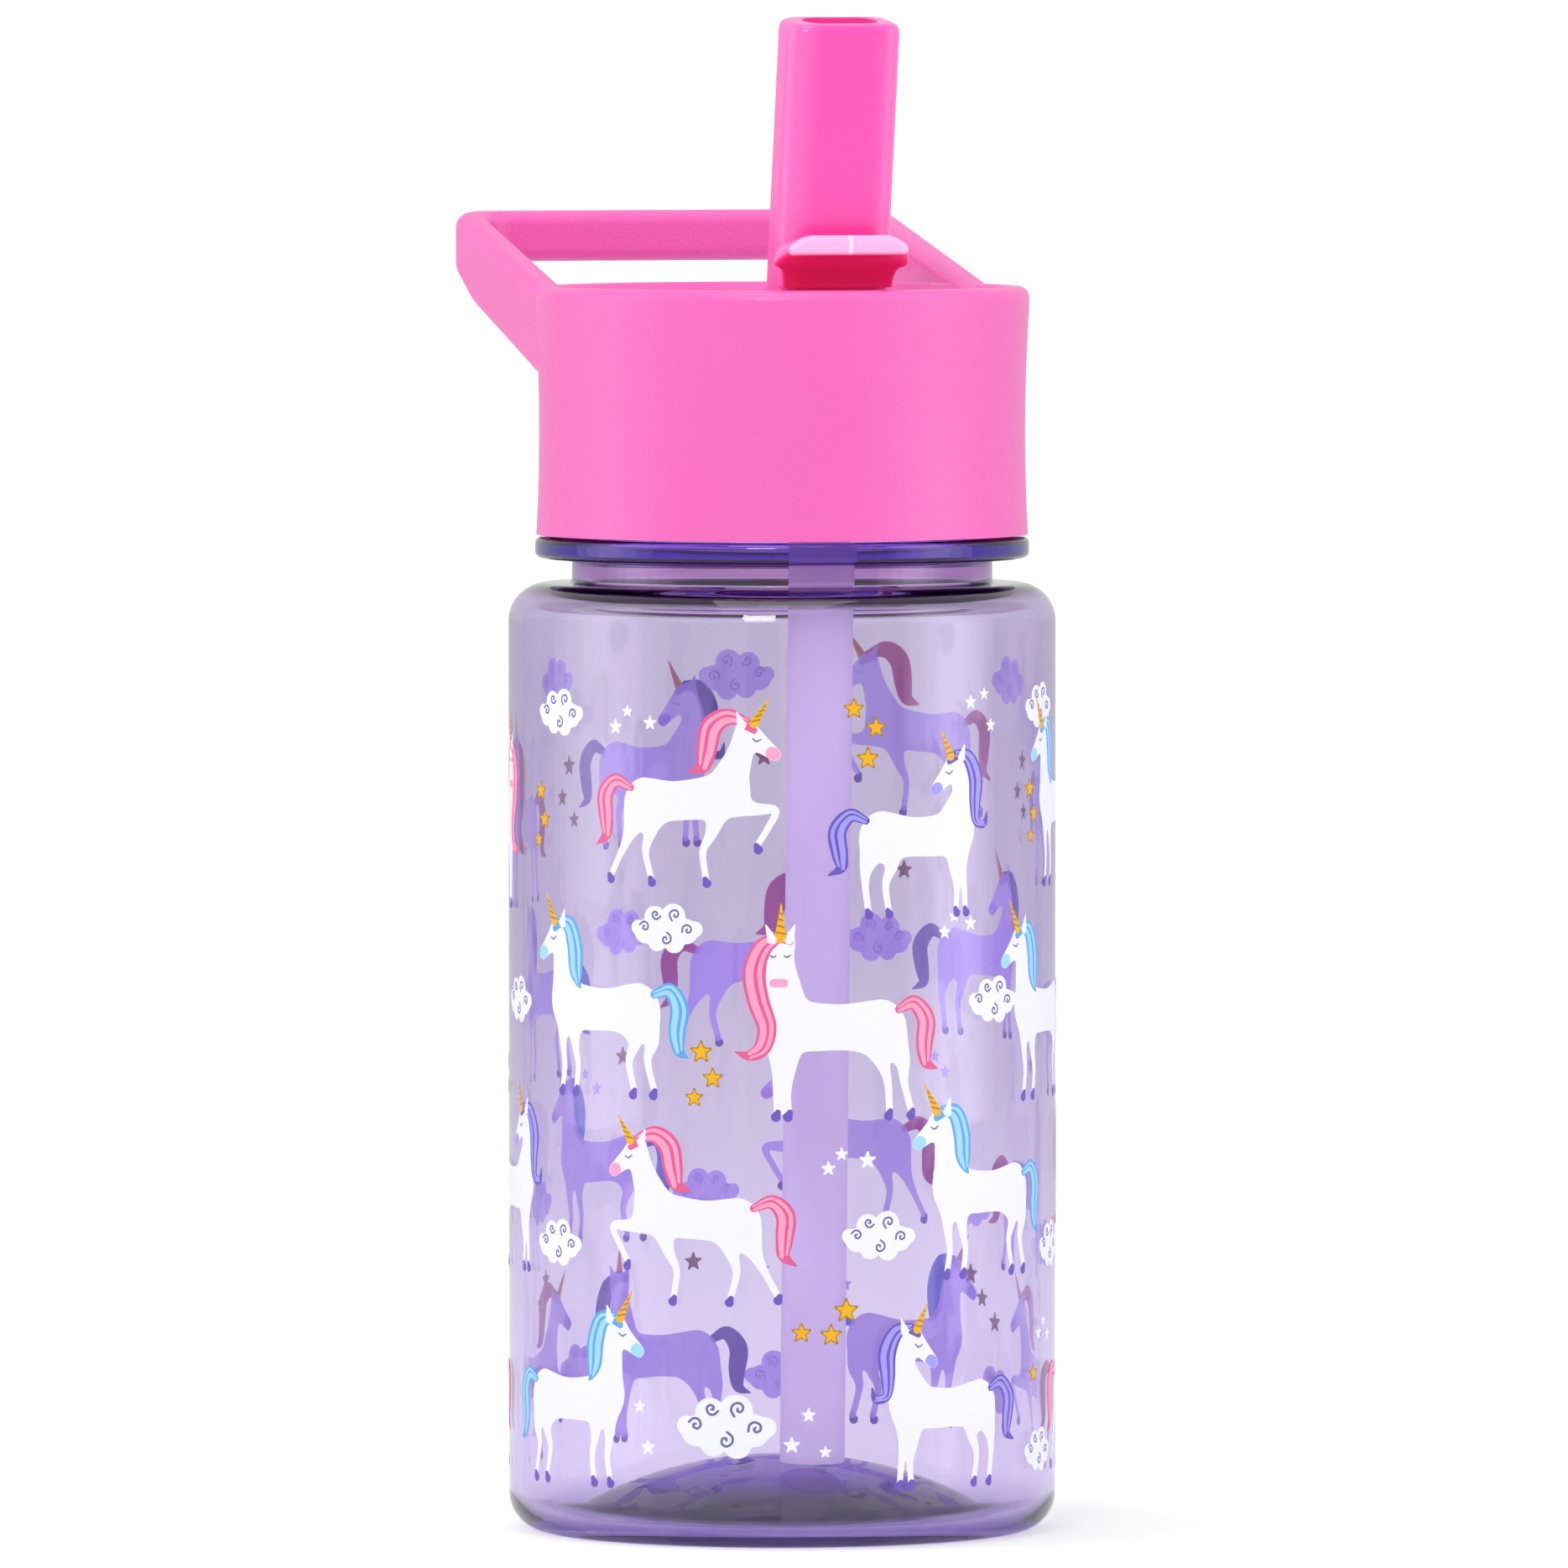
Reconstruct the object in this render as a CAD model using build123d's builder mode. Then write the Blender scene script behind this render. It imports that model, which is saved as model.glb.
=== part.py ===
"""Kids' straw bottle: a clear screw-top bottle, and a lid with a carry loop and a fold-down spout.

The origin is the centre of the base on the bottle's axis. +Z is up, the drinking side
faces -Y and the carry loop reaches out to +Y.
"""
import math
import os

from build123d import *

os.makedirs("parts", exist_ok=True)

# ---------------------------------------------------------------- driving dimensions, mm
# bottle
body_radius = 35.0
wall = 1.8
corner_radius = 4.8  # at the base and at the shoulder
shoulder_height = 121.3
foot_inner_radius = 27.6  # the ring that the bottle stands on runs from here to the corner
dome_height = 7.4  # top of the pushed-up base
floor_thickness = 2.2
foot_round = 1.5  # where the dome meets the foot ring
neck_radius = 26.9
mouth_radius = 24.4
flange_bottom = 124.5
flange_top = 127.2
flange_radius = 31.6
finish_radius = 26.4  # plain cylinder under the thread
lip_height = 143.6

# how far a cutting shape runs past what it cuts, and how far a joined one is buried
cut_margin = 1.0
join_overlap = 0.1

# screw thread, right-handed
thread_pitch = 4.0
thread_turns = 1.25
thread_depth = 1.5
thread_root_width = 1.8
thread_crest_width = 0.8
thread_sink = 0.3  # how far each thread is buried in its wall
thread_bottom = 132.5  # lower end of the bottle's thread

# lid shell
cap_bottom = 127.5
cap_top = 159.2
cap_bottom_radius = 31.45
cap_waist_radius = 31.1
cap_top_radius = 31.6
cap_inner_radius = 29.8
cap_edge_round = 1.4
rim_width = 2.7
rim_slope = 1.0
deck_height = 157.6
deck_thickness = 2.0

# liner, the threaded inner plate
liner_radius = 29.5
liner_inner_radius = 28.3
liner_bottom = 129.5
plate_bottom = 145.4
plate_top = 147.4
plug_radius = 24.0  # inner skirt that enters the bottle's mouth
plug_wall = 1.1
plug_bottom = 141.5
gasket_inner_radius = 24.5
gasket_outer_radius = 27.6
seal_gap = 0.05

# spout and its hinge
hinge_y = -17.5
hinge_z = 154.0
spout_lean = 8.75  # degrees forward of upright when open
spout_width = 15.0
spout_thickness = 8.5
spout_corner = 3.0
spout_length = 39.7  # hinge axis to tip
spout_tip_round = 1.2
barrel_radius = 5.5
trunnion_radius = 2.0
trunnion_end = 9.6
trunnion_clearance = 0.06
mouth_width = 9.8
mouth_thickness = 4.6
mouth_corner = 2.2
mouth_depth = 26.0  # of the wide oval channel below the tip
channel_radius = 1.8

# thumb tab, a quarter-round lip on the spout's front
tab_half_width = 9.3
tab_thickness = 2.6
tab_inner_radius = 5.3
tab_front = -28.2
tab_centre_z = 158.3
tab_root_angle = 12.0  # degrees above level where the lip starts
tab_crown_radius = 5.0  # the lip's upper corners, seen from the front
tab_corner = 2.0
tab_neck_y = -22.9
tab_shoulder_y = -23.7
tab_edge_round = 0.8

# trough in the deck that the spout folds into
trough_half_width = 8.0
trough_wall = 2.2
trough_front = -27.6
trough_back = 24.0
trough_floor = 149.2
trough_floor_bottom = 147.6
bay_half_width = 9.4  # the trough is wider in front, under the tab
bay_back = -22.5
window_half_depth = 6.3  # opening in the trough's floor under the barrel

# straw, spout seat and vent
straw_radius = 4.1
straw_bore = 3.2
straw_top_y = -16.56
straw_top_z = 145.0
straw_end_y = -12.3
straw_end_z = 9.6
spigot_radius = 3.15
spigot_length = 10.0
spigot_bore = 2.0
seat_half_width = 6.4
seat_half_depth = 4.2
seat_top = 149.3
seat_clearance = 0.15
seat_flange_half_width = 7.4
seat_flange_half_depth = 5.6
seat_flange_thickness = 0.8
vent_x = 15.0
vent_y = -5.0
vent_inlet_radius = 1.0
vent_hole_radius = 1.3
vent_stem_radius = 1.25
vent_bulb_radius = 1.8
vent_bulb_height = 1.3
vent_disc_radius = 3.6
vent_disc_thickness = 1.1

# carry loop
loop_root_half_width = 30.9  # where the arms leave the cap
loop_half_width = 29.9  # at the far corners
loop_root_y = 2.0
loop_reach = 50.6  # outer face of the far bar
loop_corner = 7.5
loop_inner_corner = 3.8
loop_band = 4.3
loop_bend = 30.0
loop_rise_start = 7.0  # the top face comes out of the rim here
loop_top_height = 168.2
loop_bar_bottom = 163.2
loop_arm_bottom_y = 8.0
loop_arm_bottom_z = 147.9
loop_knee_y = 37.5
loop_knee_z = 156.2
loop_edge_round = 1.7
loop_trim_radius = 30.5

loop_slope = (loop_top_height - cap_top) / (loop_reach - loop_band - loop_rise_start)
loop_cut_y = -loop_root_y - cut_margin
loop_root_top = cap_top - loop_slope * (loop_rise_start - loop_cut_y)

spout_plane = Plane(
    origin=(0, hinge_y, hinge_z),
    x_dir=(1, 0, 0),
    z_dir=(0, -math.sin(math.radians(spout_lean)), math.cos(math.radians(spout_lean))),
)
hinge_plane = Plane(origin=(0, hinge_y, hinge_z), x_dir=(0, 1, 0), z_dir=(1, 0, 0))
side_plane = Plane(origin=(0, 0, 0), x_dir=(0, 1, 0), z_dir=(1, 0, 0))
straw_plane = Plane(
    origin=(0, straw_top_y, straw_top_z),
    x_dir=(1, 0, 0),
    z_dir=(0, straw_end_y - straw_top_y, straw_end_z - straw_top_z),
)
plate_cut = 2 * (plate_top - plate_bottom) + cut_margin  # reaches through the slanted plate
seat_hole_y = hinge_y + barrel_radius * math.sin(math.radians(spout_lean))


def thread_plane(start_z, radius, outward):
    """Plane at a thread's lower end: x points away from the wall, z runs along the helix."""
    rise = thread_pitch / (2 * math.pi * radius)
    return Plane(origin=(radius, 0, start_z), x_dir=(outward, 0, 0), z_dir=(0, 1, rise))


def thread_section():
    """Corners of the thread's trapezoid, wider at its root."""
    return (
        (-thread_sink, -thread_root_width / 2),
        (thread_depth, -thread_crest_width / 2),
        (thread_depth, thread_crest_width / 2),
        (-thread_sink, thread_root_width / 2),
    )


# ---------------------------------------------------------------- bottle
dome_sphere = (foot_inner_radius**2 + dome_height**2) / (2 * dome_height)
dome_middle = math.sqrt(dome_sphere**2 - (foot_inner_radius / 2) ** 2) - dome_sphere + dome_height
with BuildPart() as bottle_body:
    with BuildSketch(Plane.XZ) as bottle_profile:
        with BuildLine():
            under_dome = ThreePointArc(
                (0, dome_height), (foot_inner_radius / 2, dome_middle), (foot_inner_radius, 0)
            )
            FilletPolyline(
                (foot_inner_radius, 0),
                (body_radius, 0),
                (body_radius, shoulder_height),
                (neck_radius, shoulder_height),
                (neck_radius, flange_bottom),
                (flange_radius, flange_bottom),
                (flange_radius, flange_top),
                (finish_radius, flange_top),
                (finish_radius, lip_height),
                (mouth_radius, lip_height),
                (mouth_radius, shoulder_height - wall),
                (body_radius - wall, shoulder_height - wall),
                (body_radius - wall, floor_thickness),
                (foot_inner_radius, floor_thickness),
                radius=[
                    corner_radius, corner_radius, 0.5, 0.4, 0.8, 0.8, 0.4, 0.5,
                    0.5, 1.5, corner_radius - wall, corner_radius - wall,
                ],
            )
            over_dome = ThreePointArc(
                (foot_inner_radius, floor_thickness),
                (foot_inner_radius / 2, dome_middle + floor_thickness),
                (0, dome_height + floor_thickness),
            )
            Line(over_dome @ 1, under_dome @ 0)
        make_face()
        foot_corners = bottle_profile.vertices().filter_by_position(
            Axis.X, foot_inner_radius, foot_inner_radius
        )
        fillet(foot_corners, foot_round)
    revolve(axis=Axis.Z)
    with BuildLine() as bottle_helix:
        Helix(
            pitch=thread_pitch,
            height=thread_pitch * thread_turns,
            radius=finish_radius,
            center=(0, 0, thread_bottom),
        )
    with BuildSketch(thread_plane(thread_bottom, finish_radius, 1)):
        with BuildLine():
            Polyline(*thread_section(), close=True)
        make_face()
    sweep(path=bottle_helix.line, is_frenet=True)
bottle_body.part.label = "bottle_body"

# ---------------------------------------------------------------- carry loop, part of the lid shell
with BuildPart() as loop:
    with BuildSketch(Plane.XY.offset(plate_bottom)):
        with BuildLine():
            FilletPolyline(
                (loop_root_half_width, -loop_root_y),
                (loop_root_half_width, loop_rise_start),
                (loop_half_width, loop_reach),
                (-loop_half_width, loop_reach),
                (-loop_root_half_width, loop_rise_start),
                (-loop_root_half_width, -loop_root_y),
                radius=[loop_bend, loop_corner, loop_corner, loop_bend],
            )
            Line((-loop_root_half_width, -loop_root_y), (loop_root_half_width, -loop_root_y))
        make_face()
        with BuildLine():
            FilletPolyline(
                (loop_root_half_width - loop_band, -loop_reach),
                (loop_root_half_width - loop_band, loop_rise_start),
                (loop_half_width - loop_band, loop_reach - loop_band),
                (loop_band - loop_half_width, loop_reach - loop_band),
                (loop_band - loop_root_half_width, loop_rise_start),
                (loop_band - loop_root_half_width, -loop_reach),
                radius=[loop_bend, loop_inner_corner, loop_inner_corner, loop_bend],
            )
            Line(
                (loop_band - loop_root_half_width, -loop_reach),
                (loop_root_half_width - loop_band, -loop_reach),
            )
        make_face(mode=Mode.SUBTRACT)
    extrude(amount=loop_top_height - plate_bottom + cut_margin)
    with BuildSketch(side_plane):
        with BuildLine():
            FilletPolyline(
                (loop_cut_y, loop_arm_bottom_z),
                (loop_arm_bottom_y, loop_arm_bottom_z),
                (loop_knee_y, loop_knee_z),
                (loop_reach + cut_margin, loop_bar_bottom),
                (loop_reach + cut_margin, loop_top_height),
                (loop_reach - loop_band, loop_top_height),
                (loop_cut_y, loop_root_top),
                radius=[6, 20, 0, 0, 20],
            )
            Line((loop_cut_y, loop_root_top), (loop_cut_y, loop_arm_bottom_z))
        make_face()
    extrude(amount=loop_root_half_width + cut_margin, both=True, mode=Mode.INTERSECT)
    long_edges = loop.edges().filter_by(
        lambda edge: edge.center().Y > join_overlap - loop_root_y and abs(edge.tangent_at(0.5).Z) < 0.9
    )
    fillet(long_edges, loop_edge_round)
    with BuildSketch(Plane.XY.offset(plate_bottom - cut_margin)):
        Circle(loop_trim_radius)
    extrude(amount=deck_height - deck_thickness / 2 - plate_bottom + cut_margin, mode=Mode.SUBTRACT)

# ---------------------------------------------------------------- lid shell
with BuildPart() as lid_shell:
    with BuildSketch(Plane.XZ):
        with BuildLine():
            ThreePointArc(
                (cap_bottom_radius, cap_bottom),
                (cap_waist_radius, (cap_bottom + cap_top) / 2),
                (cap_top_radius, cap_top - 2 * cap_edge_round),
            )
            FilletPolyline(
                (cap_top_radius, cap_top - 2 * cap_edge_round),
                (cap_top_radius, cap_top),
                (cap_top_radius - rim_width, cap_top),
                (cap_top_radius - rim_width - rim_slope, deck_height),
                (0, deck_height),
                (0, deck_height - deck_thickness),
                (cap_inner_radius, deck_height - deck_thickness),
                (cap_inner_radius, cap_bottom),
                (cap_bottom_radius, cap_bottom),
                radius=[cap_edge_round, 0.6, 0.5, 0, 0, 1.0, 0],
            )
        make_face()
    revolve(axis=Axis.Z)
    # solid block that the trough is cut from
    with BuildSketch(Plane.XY.offset(trough_floor_bottom)):
        with Locations((0, (trough_back + trough_wall - cap_inner_radius) / 2)):
            Rectangle(
                2 * (trough_half_width + trough_wall),
                trough_back + trough_wall + cap_inner_radius,
            )
        with Locations((0, (bay_back + trough_wall - cap_inner_radius) / 2)):
            Rectangle(2 * (bay_half_width + trough_wall), bay_back + trough_wall + cap_inner_radius)
        Circle(cap_inner_radius + 0.4, mode=Mode.INTERSECT)
    extrude(amount=deck_height - deck_thickness / 2 - trough_floor_bottom)
    # trough and its wider bay under the thumb tab
    with BuildSketch(Plane.XY.offset(trough_floor)):
        with Locations((0, (trough_back + trough_front) / 2)):
            Rectangle(2 * trough_half_width, trough_back - trough_front)
        with Locations((0, (bay_back + trough_front) / 2)):
            Rectangle(2 * bay_half_width, bay_back - trough_front)
    extrude(amount=cap_top - trough_floor + cut_margin, mode=Mode.SUBTRACT)
    # window under the hinge barrel
    with BuildSketch(Plane.XY.offset(trough_floor_bottom - cut_margin)):
        with Locations((0, hinge_y)):
            Rectangle(2 * trough_half_width, 2 * window_half_depth)
    extrude(amount=trough_floor - trough_floor_bottom + 2 * cut_margin, mode=Mode.SUBTRACT)
    # hinge holes in the trough's cheeks
    with BuildSketch(hinge_plane):
        Circle(trunnion_radius + trunnion_clearance)
    extrude(amount=trough_half_width + trough_wall + cut_margin, both=True, mode=Mode.SUBTRACT)
    # air inlet over the vent
    with BuildSketch(Plane.XY.offset(deck_height - deck_thickness - cut_margin)):
        with Locations((vent_x, vent_y)):
            Circle(vent_inlet_radius)
    extrude(amount=deck_thickness + 2 * cut_margin, mode=Mode.SUBTRACT)
    add(loop.part)
lid_shell.part.label = "lid_shell"

# ---------------------------------------------------------------- liner
with BuildPart() as lid_liner:
    with BuildSketch(Plane.XZ):
        with BuildLine():
            Polyline(
                (0, plate_bottom),
                (plug_radius - plug_wall, plate_bottom),
                (plug_radius - plug_wall, plug_bottom),
                (plug_radius, plug_bottom),
                (plug_radius, plate_bottom),
                (liner_inner_radius, plate_bottom),
                (liner_inner_radius, liner_bottom),
                (liner_radius, liner_bottom),
                (liner_radius, plate_top),
                (0, plate_top),
                close=True,
            )
        make_face()
    revolve(axis=Axis.Z)
    # spigot that the straw is pushed onto
    with BuildSketch(straw_plane.offset(-cut_margin)):
        Circle(spigot_radius)
    extrude(amount=spigot_length)
    with BuildSketch(straw_plane.offset(-plate_cut)):
        Circle(spigot_bore)
    extrude(amount=spigot_length + 2 * plate_cut, mode=Mode.SUBTRACT)
    with BuildSketch(Plane.XY.offset(plate_bottom - cut_margin)):
        with Locations((vent_x, vent_y)):
            Circle(vent_hole_radius)
    extrude(amount=plate_top - plate_bottom + 2 * cut_margin, mode=Mode.SUBTRACT)
    # thread ridge, half a pitch below the bottle's
    with BuildLine() as liner_helix:
        Helix(
            pitch=thread_pitch,
            height=thread_pitch * thread_turns,
            radius=liner_inner_radius,
            center=(0, 0, thread_bottom - thread_pitch / 2),
        )
    with BuildSketch(thread_plane(thread_bottom - thread_pitch / 2, liner_inner_radius, -1)):
        with BuildLine():
            Polyline(*thread_section(), close=True)
        make_face()
    sweep(path=liner_helix.line, is_frenet=True)
lid_liner.part.label = "lid_liner"

# ---------------------------------------------------------------- silicone ring on the bottle's lip
with BuildPart() as lid_gasket:
    with BuildSketch(Plane.XZ):
        with Locations(
            (
                (gasket_inner_radius + gasket_outer_radius) / 2,
                (lip_height + plate_bottom) / 2,
            )
        ):
            RectangleRounded(
                gasket_outer_radius - gasket_inner_radius,
                plate_bottom - lip_height - 2 * seal_gap,
                0.4,
            )
    revolve(axis=Axis.Z)
lid_gasket.part.label = "lid_gasket"

# ---------------------------------------------------------------- spout with barrel, trunnions and tab
with BuildPart() as spout:
    with BuildSketch(spout_plane):
        RectangleRounded(spout_width, spout_thickness, spout_corner)
    extrude(amount=spout_length)
    fillet(spout.faces().sort_by(Axis.Z)[-1].edges(), spout_tip_round)
    with BuildSketch(hinge_plane):
        Circle(barrel_radius)
    extrude(amount=spout_width / 2, both=True)
    with BuildSketch(hinge_plane):
        Circle(trunnion_radius)
    extrude(amount=trunnion_end, both=True)
    # wide oval channel, then the round one down through the barrel
    with BuildSketch(spout_plane.offset(spout_length - mouth_depth)):
        RectangleRounded(mouth_width, mouth_thickness, mouth_corner)
    extrude(amount=mouth_depth + cut_margin, mode=Mode.SUBTRACT)
    with BuildSketch(spout_plane.offset(-barrel_radius - cut_margin)):
        Circle(channel_radius)
    extrude(amount=spout_length, mode=Mode.SUBTRACT)

tab_outer_radius = tab_inner_radius + tab_thickness
with BuildPart() as thumb_tab:
    with BuildSketch(side_plane):
        with BuildLine():
            lip_inside = CenterArc(
                (tab_front, tab_centre_z), tab_inner_radius, tab_root_angle, 90 - tab_root_angle
            )
            lip_outside = CenterArc(
                (tab_front, tab_centre_z), tab_outer_radius, tab_root_angle, 90 - tab_root_angle
            )
            Line(lip_inside @ 0, lip_outside @ 0)
            Line(lip_inside @ 1, lip_outside @ 1)
        make_face()
    extrude(amount=tab_half_width + cut_margin, both=True)
    with BuildSketch(Plane.XY.offset(tab_centre_z)):
        with BuildLine():
            FilletPolyline(
                (spout_width / 2 - join_overlap, hinge_y),
                (spout_width / 2 - join_overlap, tab_neck_y),
                (tab_half_width, tab_shoulder_y),
                (tab_half_width, tab_front),
                (-tab_half_width, tab_front),
                (-tab_half_width, tab_shoulder_y),
                (join_overlap - spout_width / 2, tab_neck_y),
                (join_overlap - spout_width / 2, hinge_y),
                radius=[1.0, 1.5, tab_corner, tab_corner, 1.5, 1.0],
            )
            Line((join_overlap - spout_width / 2, hinge_y), (spout_width / 2 - join_overlap, hinge_y))
        make_face()
    extrude(amount=tab_outer_radius + cut_margin, mode=Mode.INTERSECT)
    tab_top = tab_centre_z + tab_outer_radius
    with BuildSketch(Plane.XZ.offset(-hinge_y)):
        with BuildLine():
            FilletPolyline(
                (-tab_half_width, tab_centre_z),
                (-tab_half_width, tab_top),
                (tab_half_width, tab_top),
                (tab_half_width, tab_centre_z),
                radius=[tab_crown_radius, tab_crown_radius],
            )
            Line((-tab_half_width, tab_centre_z), (tab_half_width, tab_centre_z))
        make_face()
    extrude(amount=tab_outer_radius + hinge_y - tab_front, mode=Mode.INTERSECT)
    fillet(thumb_tab.edges().filter_by(lambda edge: edge.center().Y < tab_shoulder_y), tab_edge_round)

with BuildPart() as spout_whole:
    add(spout.part)
    add(thumb_tab.part)
spout_whole.part.label = "spout"

# ---------------------------------------------------------------- silicone seat under the barrel
with BuildPart() as spout_seat:
    with BuildSketch(Plane.XY.offset(plate_top + seal_gap)):
        with Locations((0, hinge_y)):
            RectangleRounded(2 * seat_flange_half_width, 2 * seat_flange_half_depth, 1.5)
    extrude(amount=seat_flange_thickness)
    with BuildSketch(Plane.XY.offset(plate_top + seal_gap)):
        with Locations((0, hinge_y)):
            RectangleRounded(2 * seat_half_width, 2 * seat_half_depth, 1.5)
    extrude(amount=seat_top - plate_top - seal_gap)
    with BuildSketch(hinge_plane):
        Circle(barrel_radius + seat_clearance)
    extrude(amount=seat_flange_half_width + cut_margin, both=True, mode=Mode.SUBTRACT)
    with BuildSketch(Plane.XY.offset(plate_top)):
        with Locations((0, seat_hole_y)):
            Circle(channel_radius)
    extrude(amount=barrel_radius, mode=Mode.SUBTRACT)
spout_seat.part.label = "spout_seat"

# ---------------------------------------------------------------- straw
straw_length = math.hypot(straw_end_y - straw_top_y, straw_end_z - straw_top_z)
with BuildPart() as straw:
    with BuildSketch(straw_plane):
        Circle(straw_radius)
        Circle(straw_bore, mode=Mode.SUBTRACT)
    extrude(amount=straw_length)
straw.part.label = "straw"

# ---------------------------------------------------------------- vent valve, a silicone mushroom
with BuildPart() as vent_valve:
    with BuildSketch(Plane.XZ):
        with BuildLine():
            Polyline(
                (0, plate_top + seal_gap + vent_bulb_height),
                (vent_bulb_radius / 2, plate_top + seal_gap + vent_bulb_height),
                (vent_bulb_radius, plate_top + seal_gap + vent_bulb_height / 2),
                (vent_bulb_radius, plate_top + seal_gap),
                (vent_stem_radius, plate_top + seal_gap),
                (vent_stem_radius, plate_bottom - seal_gap),
                (vent_disc_radius, plate_bottom - seal_gap),
                (vent_disc_radius, plate_bottom - seal_gap - vent_disc_thickness / 2),
                (0, plate_bottom - seal_gap - vent_disc_thickness),
                close=True,
            )
        make_face()
    revolve(axis=Axis.Z)
vent_valve.part.position = (vent_x, vent_y, 0)
vent_valve.part.label = "vent_valve"

for piece in (bottle_body, lid_shell, lid_liner, lid_gasket, spout_whole, spout_seat, straw, vent_valve):
    export_step(piece.part, f"parts/{piece.part.label}.step")
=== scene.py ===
"""Looks of a kids' straw bottle: clear lavender body with an all-round print, pink lid and spout.

Everything is in metres in the part's own frame: base centre at the origin, +Z up,
drinking side towards -Y, carry loop towards +Y.
"""
import math

import bmesh
import bpy
import numpy as np
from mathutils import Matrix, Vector
from mathutils.geometry import tessellate_polygon


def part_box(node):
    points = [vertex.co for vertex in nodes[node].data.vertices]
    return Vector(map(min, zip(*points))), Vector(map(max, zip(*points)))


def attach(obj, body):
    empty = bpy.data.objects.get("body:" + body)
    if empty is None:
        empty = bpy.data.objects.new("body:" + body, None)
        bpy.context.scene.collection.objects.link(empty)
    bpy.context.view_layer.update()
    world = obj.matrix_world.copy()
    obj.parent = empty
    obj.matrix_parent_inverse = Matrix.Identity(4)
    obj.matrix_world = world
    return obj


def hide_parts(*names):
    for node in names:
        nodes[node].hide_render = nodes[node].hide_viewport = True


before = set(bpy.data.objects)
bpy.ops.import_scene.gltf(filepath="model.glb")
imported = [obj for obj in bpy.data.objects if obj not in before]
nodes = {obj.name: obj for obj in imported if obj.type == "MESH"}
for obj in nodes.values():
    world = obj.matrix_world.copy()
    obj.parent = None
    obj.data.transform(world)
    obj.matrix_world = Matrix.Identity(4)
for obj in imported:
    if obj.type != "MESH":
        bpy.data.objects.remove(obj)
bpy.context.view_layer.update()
MM = 0.001

_, body_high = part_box("bottle_body")
BODY_RADIUS = body_high.x
LIP_HEIGHT = body_high.z


# ------------------------------------------------------------------ shader helper
class Shade:
    """A socket with arithmetic. Each operator adds the Math node that it stands for."""

    def __init__(self, tree, socket):
        self.tree = tree
        self.socket = socket

    def node(self, kind, settings=None, **inputs):
        """Any node: its type, its settings, then its sockets by name (spaces as underscores)."""
        made = self.tree.nodes.new(kind)
        for key, value in (settings or {}).items():
            setattr(made, key, value)
        for key, value in inputs.items():
            target = next(
                s for s in made.inputs if s.enabled and s.name.replace(" ", "_") == key
            )
            plug(self.tree, target, value)
        return made

    def math(self, operation, *values):
        made = self.tree.nodes.new("ShaderNodeMath")
        made.operation = operation
        for target, value in zip(made.inputs, values):
            plug(self.tree, target, value)
        return Shade(self.tree, made.outputs[0])

    def __add__(self, other):
        return self.math("ADD", self, other)

    def __radd__(self, other):
        return self.math("ADD", other, self)

    def __sub__(self, other):
        return self.math("SUBTRACT", self, other)

    def __rsub__(self, other):
        return self.math("SUBTRACT", other, self)

    def __mul__(self, other):
        return self.math("MULTIPLY", self, other)

    def __rmul__(self, other):
        return self.math("MULTIPLY", other, self)

    def __truediv__(self, other):
        return self.math("DIVIDE", self, other)

    def __rtruediv__(self, other):
        return self.math("DIVIDE", other, self)

    def __pow__(self, other):
        return self.math("POWER", self, other)

    def smooth(self, low, high):
        """0 below low, 1 above high, with a soft step between."""
        made = self.tree.nodes.new("ShaderNodeMapRange")
        made.interpolation_type = "SMOOTHSTEP"
        for name, value in (("Value", self), ("From Min", low), ("From Max", high)):
            plug(self.tree, made.inputs[name], value)
        return Shade(self.tree, made.outputs[0])

    def mix(self, low, high):
        """A colour between low and high, with this value as the share of high."""
        made = self.tree.nodes.new("ShaderNodeMix")
        made.data_type = "RGBA"
        sockets = [s for s in made.inputs if s.enabled]
        for target, value in zip(sockets, (self, low, high)):
            plug(self.tree, target, value)
        return Shade(self.tree, next(s for s in made.outputs if s.enabled))


def plug(tree, target, value):
    """Links a Shade or socket to an input, or sets the input's own value."""
    if isinstance(value, Shade):
        tree.links.new(value.socket, target)
    elif isinstance(value, bpy.types.NodeSocket):
        tree.links.new(value, target)
    elif isinstance(value, (tuple, list)) and len(value) == 3 and target.type == "RGBA":
        target.default_value = (*value, 1.0)
    else:
        target.default_value = value


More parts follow.
